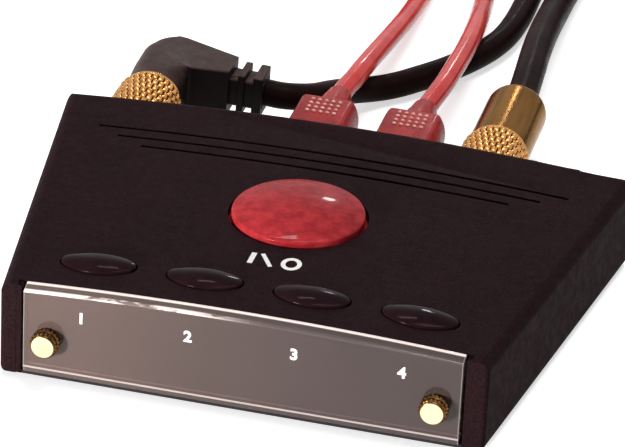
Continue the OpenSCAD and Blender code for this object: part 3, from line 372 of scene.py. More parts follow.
# Pale pink painted highlight for the grip's raised dots, in place of the glints on their tips
moulded("dot_painted_highlight", (236, 150, 142), (250, 198, 188), 1.4, 0.2, 0.004, (0.15, 0.25))
moulded("tie_black", (30, 30, 30), (40, 40, 40), 3, 0.4, 0.03, (0.4, 0.55))
moulded("print_white", (236, 230, 228), (246, 242, 240), 1, 0.1, 0.004, (0.45, 0.55))
moulded("board_green", (20, 84, 52), (30, 102, 62), 5, 0.5, 0.01, (0.25, 0.35))
moulded("led_red", (200, 40, 40), (225, 60, 50), 1, 0.3, 0.004, (0.1, 0.2), Transmission_Weight=0.4)
# Gold: the stretch draws its colour into long light and dark bands along Y, a painted reflection on the
# barrels
metal("gold", (116, 83, 50), (80, 55, 31), 2.6, 0.25, 0.006, (0.14, 0.24), (1, 14, 1),
      Specular_Tint=(0.84, 0.7, 0.56, 1.0))
# Paler copy of the gold for the thumbscrew faces: a painted highlight
metal("screw_face_painted_highlight", (252, 236, 196), (246, 226, 178), 2, 0.2, 0.004, (0.12, 0.2))
metal("insert_brass", (204, 170, 96), (190, 154, 84), 2, 0.3, 0.01, (0.3, 0.4))
metal("screw_steel", (196, 197, 200), (180, 181, 186), 2, 0.2, 0.008, (0.25, 0.38))
metal("dark_steel", (96, 96, 100), (80, 80, 84), 2, 0.2, 0.008, (0.3, 0.45))
metal("capacitor_can", (178, 180, 188), (160, 162, 170), 3, 0.3, 0.006, (0.25, 0.35))

panel_low, panel_high = (np.array(corner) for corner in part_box("front_panel"))
PANEL_BEVEL = (2.3 * MM, 0.9 * MM)
PANEL_FOOT = (0.55 * MM, 1.55 * MM)
PANEL_AIR = 0.05 * MM
LINE_SOFT = 0.15 * MM


def panel_finish():
    """Clear acrylic with a brown-grey tint, with painted light and shade: lighter on the left, darker on the
    right.

    Painted highlights run as thin broken pale streaks along the panel's own edges, by place: the flat at the
    top rear, the front edge of the upper bevel, the upper edge of the foot bevel and the two ends.
    """
    finish = Finish("smoked_clear", IOR=1.49, Specular_IOR_Level=0.12)
    x, y, z = finish.axes()
    crown = finish.sums("MULTIPLY", finish.sums("MULTIPLY", x, x), 1 / (2 * CROWN_R))
    depth = finish.sums("SUBTRACT", TOP_Z, finish.sums("ADD", z, crown))
    from_front = finish.sums("SUBTRACT", y, float(panel_low[1]))
    # Painted highlights: pale streaks along the panel's edges and ends, broken up by noise, the front one
    # fading out to the right
    broken = finish.ranged(finish.noise(5 * MM, 4.0, 0.7, (3, 1, 1)), 0.4, 0.48, 0.25, 1.0)
    high = finish.ranged(depth, 0.5 * MM, 0.9 * MM, 1.0, 0.0)
    rear_painted_highlight = finish.sums("MULTIPLY", finish.ranged(from_front, 1.7 * MM, 2.1 * MM, 0.0, 1.0), high)
    front_highlight_fade = finish.ranged(x, -14 * MM, 6 * MM, 1.0, 0.12)
    front_painted_highlight = finish.sums("MULTIPLY", finish.band(depth, 0.72 * MM, 1.08 * MM, LINE_SOFT), front_highlight_fade)
    front_painted_highlight = finish.sums("MULTIPLY", front_painted_highlight, broken)
    foot = float(panel_low[2]) + PANEL_FOOT[1]
    foot_painted_highlight = finish.sums("MULTIPLY", finish.band(z, foot - 0.25 * MM, foot + 0.1 * MM, LINE_SOFT), 0.55)
    sideways = finish.sums("ABSOLUTE", x, 0.0)
    ends = finish.ranged(sideways, panel_high[0] - 0.35 * MM, panel_high[0], 0.0, 0.4)
    painted_highlights = rear_painted_highlight
    for line in (front_painted_highlight, foot_painted_highlight, ends):
        painted_highlights = finish.sums("MAXIMUM", painted_highlights, line)
    # Painted light and shade: the tint is lighter on the left and darker on the right, blended across x
    left_tint_painted_light = finish.cloudy(finish.noise(30 * MM, 2.0), linear(138, 117, 110), linear(143, 121, 114))
    right_tint_painted_shade = finish.cloudy(finish.noise(20 * MM, 2.0), linear(104, 88, 85), linear(109, 92, 89))
    tint = finish.mixed(finish.ranged(x, -45 * MM, 30 * MM, 0.0, 1.0), left_tint_painted_light, right_tint_painted_shade)
    # Where the painted highlights lie, the colour turns pale pink and the panel less clear
    finish.colour(finish.mixed(painted_highlights, tint, linear(250, 232, 226)))
    clear = finish.ranged(painted_highlights, 0.0, 1.0, 0.7, 0.1)
    finish.link(clear, finish.shader.inputs["Transmission Weight"])
    finish.dull(finish.noise(6 * MM, 2.0), 0.03, 0.06)


def knurl_finish():
    """Bright gold on the knurl's crests, with painted shade that darkens the valleys between them."""
    finish = Finish("knurl_gold", Metallic=1.0, Specular_Tint=(0.95, 0.84, 0.7, 1.0))
    # Painted shade: ambient occlusion turns the colour dark brown in the knurl's valleys
    painted_shade_occlusion = finish.tree.nodes.new("ShaderNodeAmbientOcclusion")
    painted_shade_occlusion.samples = 8
    painted_shade_occlusion.inputs["Distance"].default_value = 0.9 * MM
    unshaded_share = finish.ranged(painted_shade_occlusion.outputs["AO"], 0.45, 1.0, 0.0, 1.0)
    crest = finish.cloudy(finish.noise(3 * MM), linear(210, 152, 92), linear(186, 130, 72))
    finish.colour(finish.mixed(unshaded_share, linear(58, 30, 9), crest))
    finish.dull(finish.noise(1.5 * MM, 4.0), 0.18, 0.28)
    finish.relief(finish.noise(0.25 * MM, 2.0), 0.006 * MM, 0.6)


def backing_finish():
    """Satin silver-grey sheet behind the clear panel."""
    finish = Finish("backing_silver", Specular_IOR_Level=0.2)
    finish.colour(finish.cloudy(finish.noise(25 * MM, 3.0), linear(226, 190, 178), linear(232, 197, 185)))
    finish.dull(finish.noise(4 * MM), 0.5, 0.6)
    finish.flat()


def power_finish():
    """Translucent red moulding with a mottled depth."""
    finish = Finish("power_red", Specular_IOR_Level=0.01, Coat_Weight=0.12, Coat_Roughness=0.02,
                    Subsurface_Weight=0.2, Subsurface_Scale=0.002)
    finish.colour(finish.cloudy(finish.noise(2.4 * MM, 6.0, 0.65), linear(144, 31, 38), linear(177, 49, 53)))
    finish.dull(finish.noise(5 * MM), 0.2, 0.3)
    finish.relief(finish.noise(1.2 * MM, 3.0), 0.0015 * MM, 0.6)


def plug_finish():
    """Black rubber moulding, with a painted sheen: a paler colour on the faces that look up."""
    finish = Finish("plug_black", Specular_IOR_Level=0.1)
    geometry = finish.tree.nodes.new("ShaderNodeNewGeometry")
    split = finish.tree.nodes.new("ShaderNodeSeparateXYZ")
    finish.link(geometry.outputs["True Normal"], split.inputs[0])
    # Painted sheen: faces whose normal points up get a paler colour, and the others stay near black
    upward = finish.ranged(split.outputs[2], 0.2, 0.85, 0.0, 1.0)
    painted_sheen_top = finish.cloudy(finish.noise(5 * MM, 4.0, 0.6), linear(50, 33, 30), linear(62, 43, 40))
    finish.colour(finish.mixed(upward, linear(18, 8, 8), painted_sheen_top))
    finish.dull(finish.noise(2 * MM, 3.0), 0.45, 0.55)
    finish.relief(finish.noise(0.4 * MM, 2.0, 0.6), 0.02 * MM)


for make in (knurl_finish, case_finish, panel_finish, backing_finish, power_finish, plug_finish):
    make()
for subpart in frame["record"]["subparts"]:
    solid = nodes[subpart["node"]]
    solid.data.materials.clear()
    solid.data.materials.append(finishes[subpart["material_slot"]])


# Leads: the same routes and coils as in part.scad, in millimetres of the design frame

AXIS_Z = 12
LIFT = 0.6
LAYER_GAP = 0.5
TURN_GAP = 0.6
TURN_POINTS = 24


class Coil:
    """A two-layer coil: its turns run inwards on the table, climb over half a turn, and run out on top."""

    def __init__(self, centre, way, turns, mean_radius, diameter):
        self.centre = np.array(centre, float)
        self.way = way
        self.first_angle = 0 if way > 0 else math.pi
        self.turns = turns
        self.diameter = diameter
        self.pitch = diameter + TURN_GAP
        self.outer = mean_radius + self.pitch * turns / 4
        self.low = diameter / 2 + LIFT
        self.high = self.low + diameter + LAYER_GAP

    def point(self, turn):
        """Centre plus a radius at the turn's angle; it shrinks by a pitch a turn to half way, then grows."""
        turn = np.asarray(turn, float)
        angle = self.first_angle + self.way * TAU * turn
        radius = self.outer - self.pitch * np.minimum(turn, self.turns - turn)
        x = self.centre[0] + radius * np.cos(angle)
        y = self.centre[1] + radius * np.sin(angle)
        z = self.low + (self.high - self.low) * smooth((turn - self.turns / 2 + 0.25) / 0.5)
        return np.stack([x, y, z], axis=-1)

    def start(self):
        """A point one diameter before the first turn, where the lead comes in."""
        return self.point(0) - (0, self.diameter, 0)

    def way_out(self):
        """Unit direction of the cable where it leaves the coil: the last turn's angle and a quarter turn."""
        angle = self.first_angle + self.way * (TAU * self.turns + math.pi / 2)
        return np.array([math.cos(angle), math.sin(angle), 0])

    def out(self):
        """A point one diameter past the last turn."""
        return self.point(self.turns) + self.diameter * self.way_out()

    def path(self, tail):
        """The coil's points at even steps of its turns, with its way in, its way out and a tail."""
        count = math.ceil(TURN_POINTS * self.turns)
        turn = self.turns * np.arange(count + 1) / count
        return np.concatenate([[self.start()], self.point(turn), [self.out()], tail])

    def straight_tail(self, run, z):
        """Straight on from the coil, level with the far plug at its end."""
        share = np.array([1, 2, 3, 3]) / 3
        along = np.array([run / 3, run * 2 / 3, run, run + self.diameter])
        points = self.out() + along[:, None] * self.way_out()
        points[:, 2] = self.out()[2] + (z - self.out()[2]) * smooth(share)
        return points


ANGLE_X = -50
STRAIGHT_X = 30
OPTICAL_X = (-10, 10)
COLLAR_R = 7.8
COLLAR_L = 17.2
COLLAR_Y = 89.8
BARREL_R = 7
BARREL_L = 24
ELBOW_Y = 30.8
ELBOW_TILT = math.radians(2)
ARM_L = 15.3
RELIEF_L = 8
OPTICAL_PLUG_Y = 89.5
GRIP_L = 22.5
GRIP_H = 10
NECK_L = 11
FAR_COAX_Z = COLLAR_R + 0.1
FAR_OPTICAL_Z = GRIP_H / 2 + 0.1
ANGLE_D = 6.2
STRAIGHT_D = 7.2
OPTICAL_D = 4.8

angle_coil = Coil((43.65, 318), -1, 2.25, 24.7, ANGLE_D)
straight_coil = Coil((58.8, 249), -1, 2.5, 28.1, STRAIGHT_D)
optical_coil_1 = Coil((-33, 222), 1, 2.25, 22, OPTICAL_D)
optical_coil_2 = Coil((-21, 285), 1, 2, 20.9, OPTICAL_D)

angle_exit = np.array([ANGLE_X, COLLAR_Y + ELBOW_Y, AXIS_Z])
angle_exit = angle_exit + (ARM_L + RELIEF_L) * np.array([math.cos(ELBOW_TILT), 0, -math.sin(ELBOW_TILT)])
angle_route = [
    angle_exit,
    (-23, 120.8, 10.9), (-19, 122.8, 10.3), (-16.2, 126.6, 9.2), (-14.2, 131.6, 7.8), (-12, 136.6, 6.3),
    (-9.6, 140.8, 5), (-6.8, 144.4, 4.1), (-4, 147.4, 3.7), (-1.2, 150.2, 3.7), (1.4, 153.4, 3.7),
    (4.1, 156.8, 3.7), (6.7, 160.4, 3.7), (9.2, 164.4, 3.7), (11.5, 168.6, 3.7), (13.5, 173, 3.7),
    (15.2, 177.6, 3.7), (16.5, 183, 3.7), (17.3, 190, 3.7), (17.6, 199, 3.7), (17.4, 210, 3.7),
    (16.9, 222, 3.7), (16.3, 234, 3.7), (15.8, 246, 3.7), (15.4, 259, 3.7), (15.2, 272, 3.7),
    (15.1, 285, 3.7), (15.1, 295, 3.7), (15.1, 304, 3.7),
]
straight_route = [
    (STRAIGHT_X, COLLAR_Y + COLLAR_L + BARREL_L, AXIS_Z),
    (29.7, 137, 12), (29.3, 143, 12), (28.8, 150, 11.9), (28.2, 157, 11.5), (27.6, 165, 10.9),
    (27.1, 173, 10), (26.7, 181, 9), (26.4, 189, 7.8), (26.1, 197, 6.6), (25.9, 205, 5.6),
    (25.85, 214, 4.7), (25.85, 224, 4.3), (25.85, 233, 4.2),
]
optical_route_1 = [
    (OPTICAL_X[0], OPTICAL_PLUG_Y + GRIP_L + NECK_L, AXIS_Z),
    (-9.6, 128, 12), (-9, 132, 12), (-8.6, 137, 11.9), (-8.2, 143, 11.5), (-7.8, 150, 10.8),
    (-7.5, 157, 9.9), (-7.3, 164, 8.9), (-7.2, 171, 7.8), (-7.2, 178, 6.6), (-7.3, 185, 5.5),
    (-7.5, 192, 4.4), (-7.7, 199, 3.5), (-7.9, 207, 3.1),
]
optical_route_2 = [
    (OPTICAL_X[1], OPTICAL_PLUG_Y + GRIP_L + NECK_L, AXIS_Z),
    (10.5, 128, 12), (10.9, 132, 12), (11.3, 137, 11.9), (11.5, 143, 11.7), (11.6, 150, 11.3),
    (11.6, 157, 10.8), (11.4, 164, 10.2), (11, 171, 9.4), (10.4, 178, 8.4), (9.6, 185, 7.1),
    (8.7, 192, 5.7), (7.7, 200, 4.4), (6.6, 208, 3.5), (5.5, 217, 3.1), (4.5, 226, 3), (3.7, 236, 3),
    (3.1, 246, 3), (2.7, 256, 3), (2.6, 265, 3), (2.6, 273, 3),
]
optical_tail_1 = np.array([
    (-43.5, 247.6, 7.6), (-48.5, 249.6, 6.9), (-52.4, 253.4, 6.1), (-54.9, 258.4, 5.4),
    (-55.9, 264, 5.1), (-56, 268, 5.1), (-56, 272, 5.1),
])
angle_tail = angle_coil.straight_tail(5, FAR_COAX_Z)
straight_tail = straight_coil.straight_tail(9, FAR_COAX_Z)
optical_tail_2 = optical_coil_2.straight_tail(5, FAR_OPTICAL_Z)


def lead(name, route, coil, tail, finish, hidden_nodes):
    """A cable as one smooth curve through its route, its coil and its tail."""
    points = place(np.concatenate([np.asarray(route, float), coil.path(tail)]))
    curve = bpy.data.curves.new(name, "CURVE")
    curve.dimensions = "3D"
    curve.bevel_depth = coil.diameter / 2 * MM
    curve.bevel_resolution = 6
    curve.resolution_u = 6
    curve.use_fill_caps = True
    spline = curve.splines.new("BEZIER")
    spline.bezier_points.add(len(points) - 1)
    spline.bezier_points.foreach_set("co", points.ravel())
    for knot in spline.bezier_points:
        knot.handle_left_type = "AUTO"
        knot.handle_right_type = "AUTO"
    curve.materials.append(finishes[finish])
    piece = add_object(name, curve)
    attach(piece, "case")
    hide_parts(*hidden_nodes)


# Buttons


def oval_outline(width, length, end_r, count=160):
    """The source button's outline: two wide arcs front and rear that run into two small end arcs."""
    a = width / 2 - end_r
    b = length / 2
    wide_r = (a * a + b * b - end_r * end_r) / (2 * (b - end_r))
    reach = math.degrees(math.asin(a / (wide_r - end_r)))
    top = arc((0, b - wide_r), wide_r, 90 - reach, 90 + reach, 60)
    left = arc((-a, 0), end_r, 90 + reach, 270 - reach, 30)
    return evenly(np.concatenate([top, left, -top, -left]), count, 0.3 * MM)


RIM_TURN = math.radians(70)


def button_surface(outline, centre, stem, flange, wall_top, rim_r, rise, wall=0.0):
    """A push button as rings of its outline, from its stem over its flange, up its wall and over its dome.

    With a wall it is a cup round its stem. Rings below the top are level. Rings from the wall's top
    upwards follow the crowned skin, and the dome rises by rise times one less the square of the share
    of the way out from the middle.
    """
    normal = outward(outline)
    stem_r, stem_low = stem
    flange_out, flange_low, flange_t = flange
    round_stem = stem_r * outline / np.linalg.norm(outline, axis=1, keepdims=True)
    wide = outline + flange_out * normal
    cup = outline - wall * normal
    roof = flange_low
    if wall:
        roof = skin_z(0) + wall_top - wall
    rings = [(round_stem * 0.05, stem_low), (round_stem, stem_low), (round_stem, roof)]
    if wall:
        rings.append((cup, roof))
    flange_top = flange_low + flange_t
    rings += [(cup, flange_low), (wide, flange_low), (wide, flange_top), (outline, flange_top)]
    levels = [np.column_stack([flat + centre, np.full(len(flat), z)]) for flat, z in rings]
    for t in np.linspace(0, RIM_TURN, 8):
        inner = outline - rim_r * (1 - math.cos(t)) * normal
        edge = wall_top - rim_r * (1 - math.sin(t))
        flat = inner + centre
        levels.append(np.column_stack([flat, skin_z(flat[:, 0]) + edge]))
    for share in np.linspace(0.96, 0.02, 20):
        flat = inner * share + centre
        levels.append(np.column_stack([flat, skin_z(flat[:, 0]) + edge + rise * (1 - share**2)]))
    return solid_form(np.stack(levels))


BUTTON_PITCH = 22.5
BUTTON_W = 15.8
BUTTON_L = 8.6
BUTTON_END_R = 2.4
BUTTON_Y = 12.3
BUTTON_STEM_R = 1.5
BUTTON_EDGE = 0.6
BUTTON_RIM_R = 0.5
BUTTON_RISE = 0.9
POWER_D = 28.2
POWER_Y = 44.8
POWER_STEM_R = 2.5
POWER_EDGE = 1.3
POWER_RIM_R = 0.7
POWER_RISE = 2.15
POWER_WALL = 1.8
FLANGE_OUT = 1.0
FLANGE_T = 1.2
FLANGE_LOW = 3.35


def flange_for(reach):
    """Overhang, underside and thickness of a flange that lies under the crowned top out to reach."""
    return FLANGE_OUT * MM, skin_z((reach + FLANGE_OUT) * MM) - FLANGE_LOW * MM, FLANGE_T * MM


oval = oval_outline(BUTTON_W * MM, BUTTON_L * MM, BUTTON_END_R * MM)
for number in range(4):
    node = "source_button_%d" % (number + 1)
    middle_x = BUTTON_PITCH * (number - 1.5)
    stem = (BUTTON_STEM_R * MM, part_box(node)[0][2])
    flange = flange_for(abs(middle_x) + BUTTON_W / 2)
    shape = button_surface(oval, place((middle_x, BUTTON_Y, 0))[:2], stem, flange,
                           BUTTON_EDGE * MM, BUTTON_RIM_R * MM, BUTTON_RISE * MM)
    button = mesh_piece("source_button_top_%d" % (number + 1), [shape], "button_black", node)
    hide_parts(node)

power_outline = arc((0, 0), POWER_D / 2 * MM, 0, 360, 161)[:-1]
power_stem = (POWER_STEM_R * MM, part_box("power_plunger")[1][2])
power_shape = button_surface(power_outline, place((0, POWER_Y, 0))[:2], power_stem, flange_for(POWER_D / 2),
                             POWER_EDGE * MM, POWER_RIM_R * MM, POWER_RISE * MM, POWER_WALL * MM)
power_top = mesh_piece("power_button_top", [power_shape], "power_red", "power_button")
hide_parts("power_button")


# Front panel


def panel_surface():
    """The clear panel: a section with two bevels and eased corners, carried across under the crown.

    Each section's heights are stretched so that its top lies just under the crowned skin there.
    """
    front, rear = panel_low[1], panel_high[1] - PANEL_AIR
    low, high = panel_low[2], panel_high[2]
    corners = [(front + PANEL_FOOT[0], low), (rear, low), (rear, high), (front + PANEL_BEVEL[0], high),
               (front, high - PANEL_BEVEL[1]), (front, low + PANEL_FOOT[1])]
    section = evenly(corners, 300, 0.15 * MM)
    x = np.linspace(panel_low[0], panel_high[0], 61)
    stretch = (skin_z(x) - PANEL_AIR - low) / (high - low)
    y = np.broadcast_to(section[:, 0], (len(x), len(section)))
    z = low + stretch[:, None] * (section[:, 1] - low)
    across = np.broadcast_to(x[:, None], y.shape)
    return solid_form(np.stack([across, y, z], axis=-1))


panel = mesh_piece("clear_panel", [panel_surface()], "smoked_clear")
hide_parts("front_panel")

LINER_X = (46.2, 47.8)
LINER_Y = (0.02, 2.2)
LINER_EASE = 0.3
LINER_DROP = 0.1


def cheek_liner(side):
    """A slim upright bar that widens a cheek towards the panel's end, with eased edges."""
    inner, outer = sorted((side * LINER_X[0], side * LINER_X[1]))
    front, rear = LINER_Y
    outline = evenly([(inner, front), (outer, front), (outer, rear), (inner, rear)], 80, LINER_EASE)
    top = skin_z(LINER_X[1] * MM) / MM - LINER_DROP
    return solid_form(place(rounded_prism(outline, cover_low[2] / MM, top, LINER_EASE)))


for side, name in ((-1, "left"), (1, "right")):
    liner = mesh_piece(name + "_cheek_liner", [cheek_liner(side)], "case_black")


# Marks: thin white print that lies on the surface

PRINT_OVER = 0.03 * MM
MARK_BARS = (((-4.45, 21.6), (-4.45, 26.1), 1.1), ((0.03, 21.4), (-2.74, 26.2), 0.9))
MARK_RING = ((3.9, 23.8), (2.15, 2.6), (1.2, 1.55))


def top_bar(start, stop, width):
    """A straight printed bar on the crowned top, as a grid along and across it."""
    start, stop = place((*start, 0))[:2], place((*stop, 0))[:2]
    along = (stop - start) / np.linalg.norm(stop - start)
    across = np.array([-along[1], along[0]])
    t = np.linspace(0, 1, 12)[:, None, None]
    s = np.linspace(0.5, -0.5, 4)[None, :, None] * width * MM
    flat = start + t * (stop - start) + s * across
    return grid(np.concatenate([flat, skin_z(flat[..., :1]) + PRINT_OVER], axis=-1))


def top_ring(centre, outer, inner):
    """A printed oval ring on the crowned top, between two ellipses."""
    angle = np.linspace(0, TAU, 64, endpoint=False)
    share = np.linspace(0, 1, 4)[:, None]
    half = (1 - share)[..., None] * np.array(outer) + share[..., None] * np.array(inner)
    flat = place((*centre, 0))[:2] + MM * half * np.stack([np.cos(angle), np.sin(angle)], axis=-1)
    return grid(np.concatenate([flat, skin_z(flat[..., :1]) + PRINT_OVER], axis=-1), close_rows=True)


mark_parts = [top_bar(*bar) for bar in MARK_BARS] + [top_ring(*MARK_RING)]
mesh_piece("power_mark", mark_parts, "print_white")

NUMBER_X = (-33.4, -11, 11.1, 33.3)
NUMBER_Z = 16.6
NUMBER_H = 2.4
NUMBER_BOLD = 0.13
DIGIT_SHARE = 0.7


def panel_number(text, x):
    """A printed number on the front panel: a text outline, a little bold, turned upright to face the front.

    A digit is DIGIT_SHARE of the font's size high.
    """
    curve = bpy.data.curves.new("number", "FONT")
    curve.body = text
    curve.align_x = "CENTER"
    curve.align_y = "CENTER"
    curve.size = NUMBER_H * MM / DIGIT_SHARE
    curve.offset = NUMBER_BOLD * MM
    letter = add_object("number", curve)
    bpy.context.view_layer.update()
    mesh = bpy.data.meshes.new_from_object(letter.evaluated_get(bpy.context.evaluated_depsgraph_get()))
    bpy.data.objects.remove(letter)
    upright = Matrix.Rotation(math.pi / 2, 4, "X")
    spot = Matrix.Translation((x * MM, panel_low[1] - PRINT_OVER, NUMBER_Z * MM))
    mesh.transform(spot @ upright)
    mesh.materials.clear()
    mesh.materials.append(finishes["print_white"])
    piece = add_object("panel_number_" + text, mesh)
    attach(piece, "case")


for number, x in enumerate(NUMBER_X):
    panel_number(str(number + 1), x)


# Plugs

GRIP_FLAT = 5.6
GRIP_BELLY = 7.3
NECK_R = (3.7, 2.9)
DOT_PITCH = (1.55, 1.9)
DOT_R = 0.52
DOT_H = 0.42
DOT_END = 2.2
FERRULE_R = 1.25
FERRULE_L = 9.5
TIP_HALF = 3.2
TIP_L = 8.0
SECTION_POINTS = 120


def by_angle(outline):
    """An outline read at even angles round its middle, so that sections of different shape can be joined."""
    angle = np.mod(np.arctan2(outline[:, 1], outline[:, 0]), TAU)
    radius = np.hypot(outline[:, 0], outline[:, 1])
    order = np.argsort(angle)
    at = np.arange(SECTION_POINTS) / SECTION_POINTS * TAU
    reach = np.interp(at, angle[order], radius[order], period=TAU)
    return np.stack([reach * np.cos(at), reach * np.sin(at)], axis=-1)


def grip_section():
    """Section of an optical plug's grip: flat top and bottom, sides that bulge on arcs, corners eased."""
    bulge = GRIP_BELLY - GRIP_FLAT
    radius = (GRIP_H**2 / 4 + bulge**2) / (2 * bulge)
    reach = math.degrees(math.asin(GRIP_H / 2 / radius))
    right = arc((GRIP_BELLY - radius, 0), radius, -reach, reach, 60)
    return by_angle(evenly(np.concatenate([right, -right]), 400, 0.45))


def tip_section(half):
    """Section of the plug's square tip with eased corners."""
    square = np.array([(1, -1), (1, 1), (-1, 1), (-1, -1)]) * half
    return by_angle(evenly(square, 400, 0.5))


def circle_section(radius):
    """A circle read at the same even angles."""
    at = np.arange(SECTION_POINTS) / SECTION_POINTS * TAU
    return radius * np.stack([np.cos(at), np.sin(at)], axis=-1)


def grip_dot(middle, radius, height):
    """A raised dot: rings of a half ellipsoid."""
    rise = np.radians(np.linspace(-15, 80, 6))[:, None]
    angle = np.linspace(0, TAU, 14, endpoint=False)[None]
    reach = radius * np.cos(rise)
    level = height * np.sin(rise) * np.ones_like(angle)
    dot = np.stack([reach * np.cos(angle), reach * np.sin(angle), level], axis=-1)
    return grid(dot + middle, close_rows=True, cap_end=True)


def optical_plug_parts():
    """An optical plug along +Y from its mating face: sections joined from the ferrule to the cable."""
    grip = grip_section()
    tip = tip_section(TIP_HALF)
    rear = GRIP_L + NECK_L
    stations = [
        (-FERRULE_L, circle_section(0.5)), (-FERRULE_L, circle_section(FERRULE_R - 0.1)),
        (-FERRULE_L + 0.1, circle_section(FERRULE_R)), (-TIP_L, circle_section(FERRULE_R)),
        (-TIP_L, tip * 0.93), (-TIP_L + 0.2, tip * 0.98), (-TIP_L + 0.6, tip), (0.0, tip),
        (0.0, grip * 0.94), (0.15, grip * 0.97), (0.5, grip * 0.992), (1.0, grip), (GRIP_L - 1.0, grip),
        (GRIP_L - 0.4, grip * 0.985), (GRIP_L - 0.1, grip * 0.96), (GRIP_L, grip * 0.92),
        (GRIP_L, circle_section(NECK_R[0] + 0.6)), (GRIP_L + 0.6, circle_section(NECK_R[0] + 0.15)),
        (GRIP_L + 1.5, circle_section(NECK_R[0])), (GRIP_L + 6.0, circle_section(NECK_R[0] - 0.2)),
        (GRIP_L + 7.0, circle_section(NECK_R[0] - 0.45)), (rear - 0.8, circle_section(NECK_R[1])),
        (rear - 0.1, circle_section(NECK_R[1] - 0.25)), (rear, circle_section(OPTICAL_D / 2)),
    ]
    rows = np.stack([np.column_stack([s[:, 0], np.full(len(s), y), -s[:, 1]]) for y, s in stations])
    return [solid_form(rows * MM)]


def grip_dots():
    """Five columns of four raised dots on the rear half of the grip's top."""
    parts = []
    for column in range(5):
        for row in range(4):
            x = (column - 2) * DOT_PITCH[0]
            y = GRIP_L - DOT_END - row * DOT_PITCH[1]
            parts.append(grip_dot(np.array([x, y, GRIP_H / 2]) * MM, DOT_R * MM, DOT_H * MM))
    return parts


def moved(parts, matrix):
    """The same parts with their points carried by a matrix."""
    turn = np.array(matrix.to_3x3())
    shift = np.array(matrix.translation)
    return [(points @ turn.T + shift, faces) for points, faces in parts]


def in_socket(x, y, tilt=0.0):
    """Where a plug sits whose mating face is at (x, y) of the design frame on the socket axis."""
    return Matrix.Translation(Vector(place((x, y, AXIS_Z)))) @ Matrix.Rotation(tilt, 4, "Y")


def at_tail(tail, length):
    """Where a far plug sits whose cable end is on a tail's last point."""
    way = tail[-1] - tail[-2]
    way = way / np.linalg.norm(way)
    spot = place(tail[-1] + length * np.array([way[0], way[1], 0]))
    turn = math.atan2(way[1], way[0]) + math.pi / 2
    return Matrix.Translation(Vector(spot)) @ Matrix.Rotation(turn, 4, "Z")


COLLAR_BORE = 4.35
COLLAR_BORE_L = 11.2
KNURL_DEPTH = 0.6
KNURL_TEETH = 32
KNURL_RINGS = 6
BARREL_ROUND = 3.4
BEAD_STEPS = 8
AXIS_R = 0.01


def beaded(radius, depth, low, high, teeth, rings, count):
    """Rings of small beads about +Y, each ring turned by half a bead against the last.

    A bead's height is the square root of the product of two half sine waves, round the axis and along it.
    """
    angle = np.arange(count)[None] / count
    along = np.linspace(0, 1, BEAD_STEPS * rings + 1)[:, None]
    ring = np.minimum(np.floor(along * rings), rings - 1)
    across = np.abs(np.sin(math.pi * (teeth * angle + 0.5 * ring)))
    rise = np.abs(np.sin(math.pi * rings * along))
    reach = radius - depth * (1 - np.sqrt(across * rise))
    y = np.broadcast_to(low + (high - low) * along, reach.shape)
    return np.stack([reach * np.cos(TAU * angle), y, -reach * np.sin(TAU * angle)], axis=-1)


def collar_parts():
    """A coaxial plug's collar: bore, mouth, plain rim, knurled band and rear rim."""
    count = 320
    band = beaded(COLLAR_R, KNURL_DEPTH, 1.6, COLLAR_L - 1.2, KNURL_TEETH, KNURL_RINGS, count)
    bore = [(AXIS_R, COLLAR_BORE_L), (COLLAR_BORE, COLLAR_BORE_L), (COLLAR_BORE, 0.4),
            (COLLAR_BORE + 0.4, 0)]
    rim = [(COLLAR_R - 0.9, 0), (COLLAR_R - 0.45, 0.3), (COLLAR_R - 0.4, 1.0), (COLLAR_R - 0.75, 1.5)]
    front = turned(bore + rim, count)
    back = turned([(COLLAR_R - 0.75, COLLAR_L - 1.1), (COLLAR_R - 0.6, COLLAR_L - 0.8),
                   (COLLAR_R - 0.6, COLLAR_L - 0.3), (COLLAR_R - 0.9, COLLAR_L), (AXIS_R, COLLAR_L)], count)
    return [grid(np.concatenate([front, band, back]) * MM, close_rows=True)]


def barrel_parts():
    """A smooth plug barrel with a rounded cable end."""
    end = arc((BARREL_R - BARREL_ROUND, COLLAR_L + BARREL_L - BARREL_ROUND), BARREL_ROUND, 0, 90, 14)
    start = [(AXIS_R, COLLAR_L - 0.2), (BARREL_R, COLLAR_L - 0.2), (BARREL_R, COLLAR_L + 1)]
    profile = np.concatenate([start, end, [(AXIS_R, COLLAR_L + BARREL_L)]])
    return [grid(turned(profile, 96) * MM, close_rows=True)]


def pin_parts():
    """A plug's centre pin with a rounded end."""
    tip = arc((0.75, -0.9), 0.8, -90, 0, 8)
    profile = np.concatenate([[(AXIS_R, -1.7)], tip, [(1.55, COLLAR_BORE_L), (AXIS_R, COLLAR_BORE_L)]])
    return [grid(turned(profile, 32) * MM, close_rows=True)]


def gold_plug(name, node, parts, matrix, finish="gold"):
    """A gold piece moved to its place, where it stands for a plug's solid."""
    piece = mesh_piece(name, moved(parts, matrix), finish)
    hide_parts(node)
    return piece


COAX_L = COLLAR_L + BARREL_L
angle_spot = in_socket(ANGLE_X, COLLAR_Y)
straight_spot = in_socket(STRAIGHT_X, COLLAR_Y)
gold_plug("angle_plug_collar", "angle_plug_ring", collar_parts(), angle_spot, "knurl_gold")
gold_plug("straight_plug_knurl", "straight_plug_collar", collar_parts(), straight_spot, "knurl_gold")
gold_plug("straight_plug_sleeve", "straight_plug_barrel", barrel_parts(), straight_spot)
far_coax = collar_parts() + barrel_parts() + pin_parts()
angle_end = gold_plug("angle_end_plug", "angle_far_plug", far_coax, at_tail(angle_tail, COAX_L))
straight_end = gold_plug("straight_end_plug", "straight_far_plug", far_coax, at_tail(straight_tail, COAX_L))

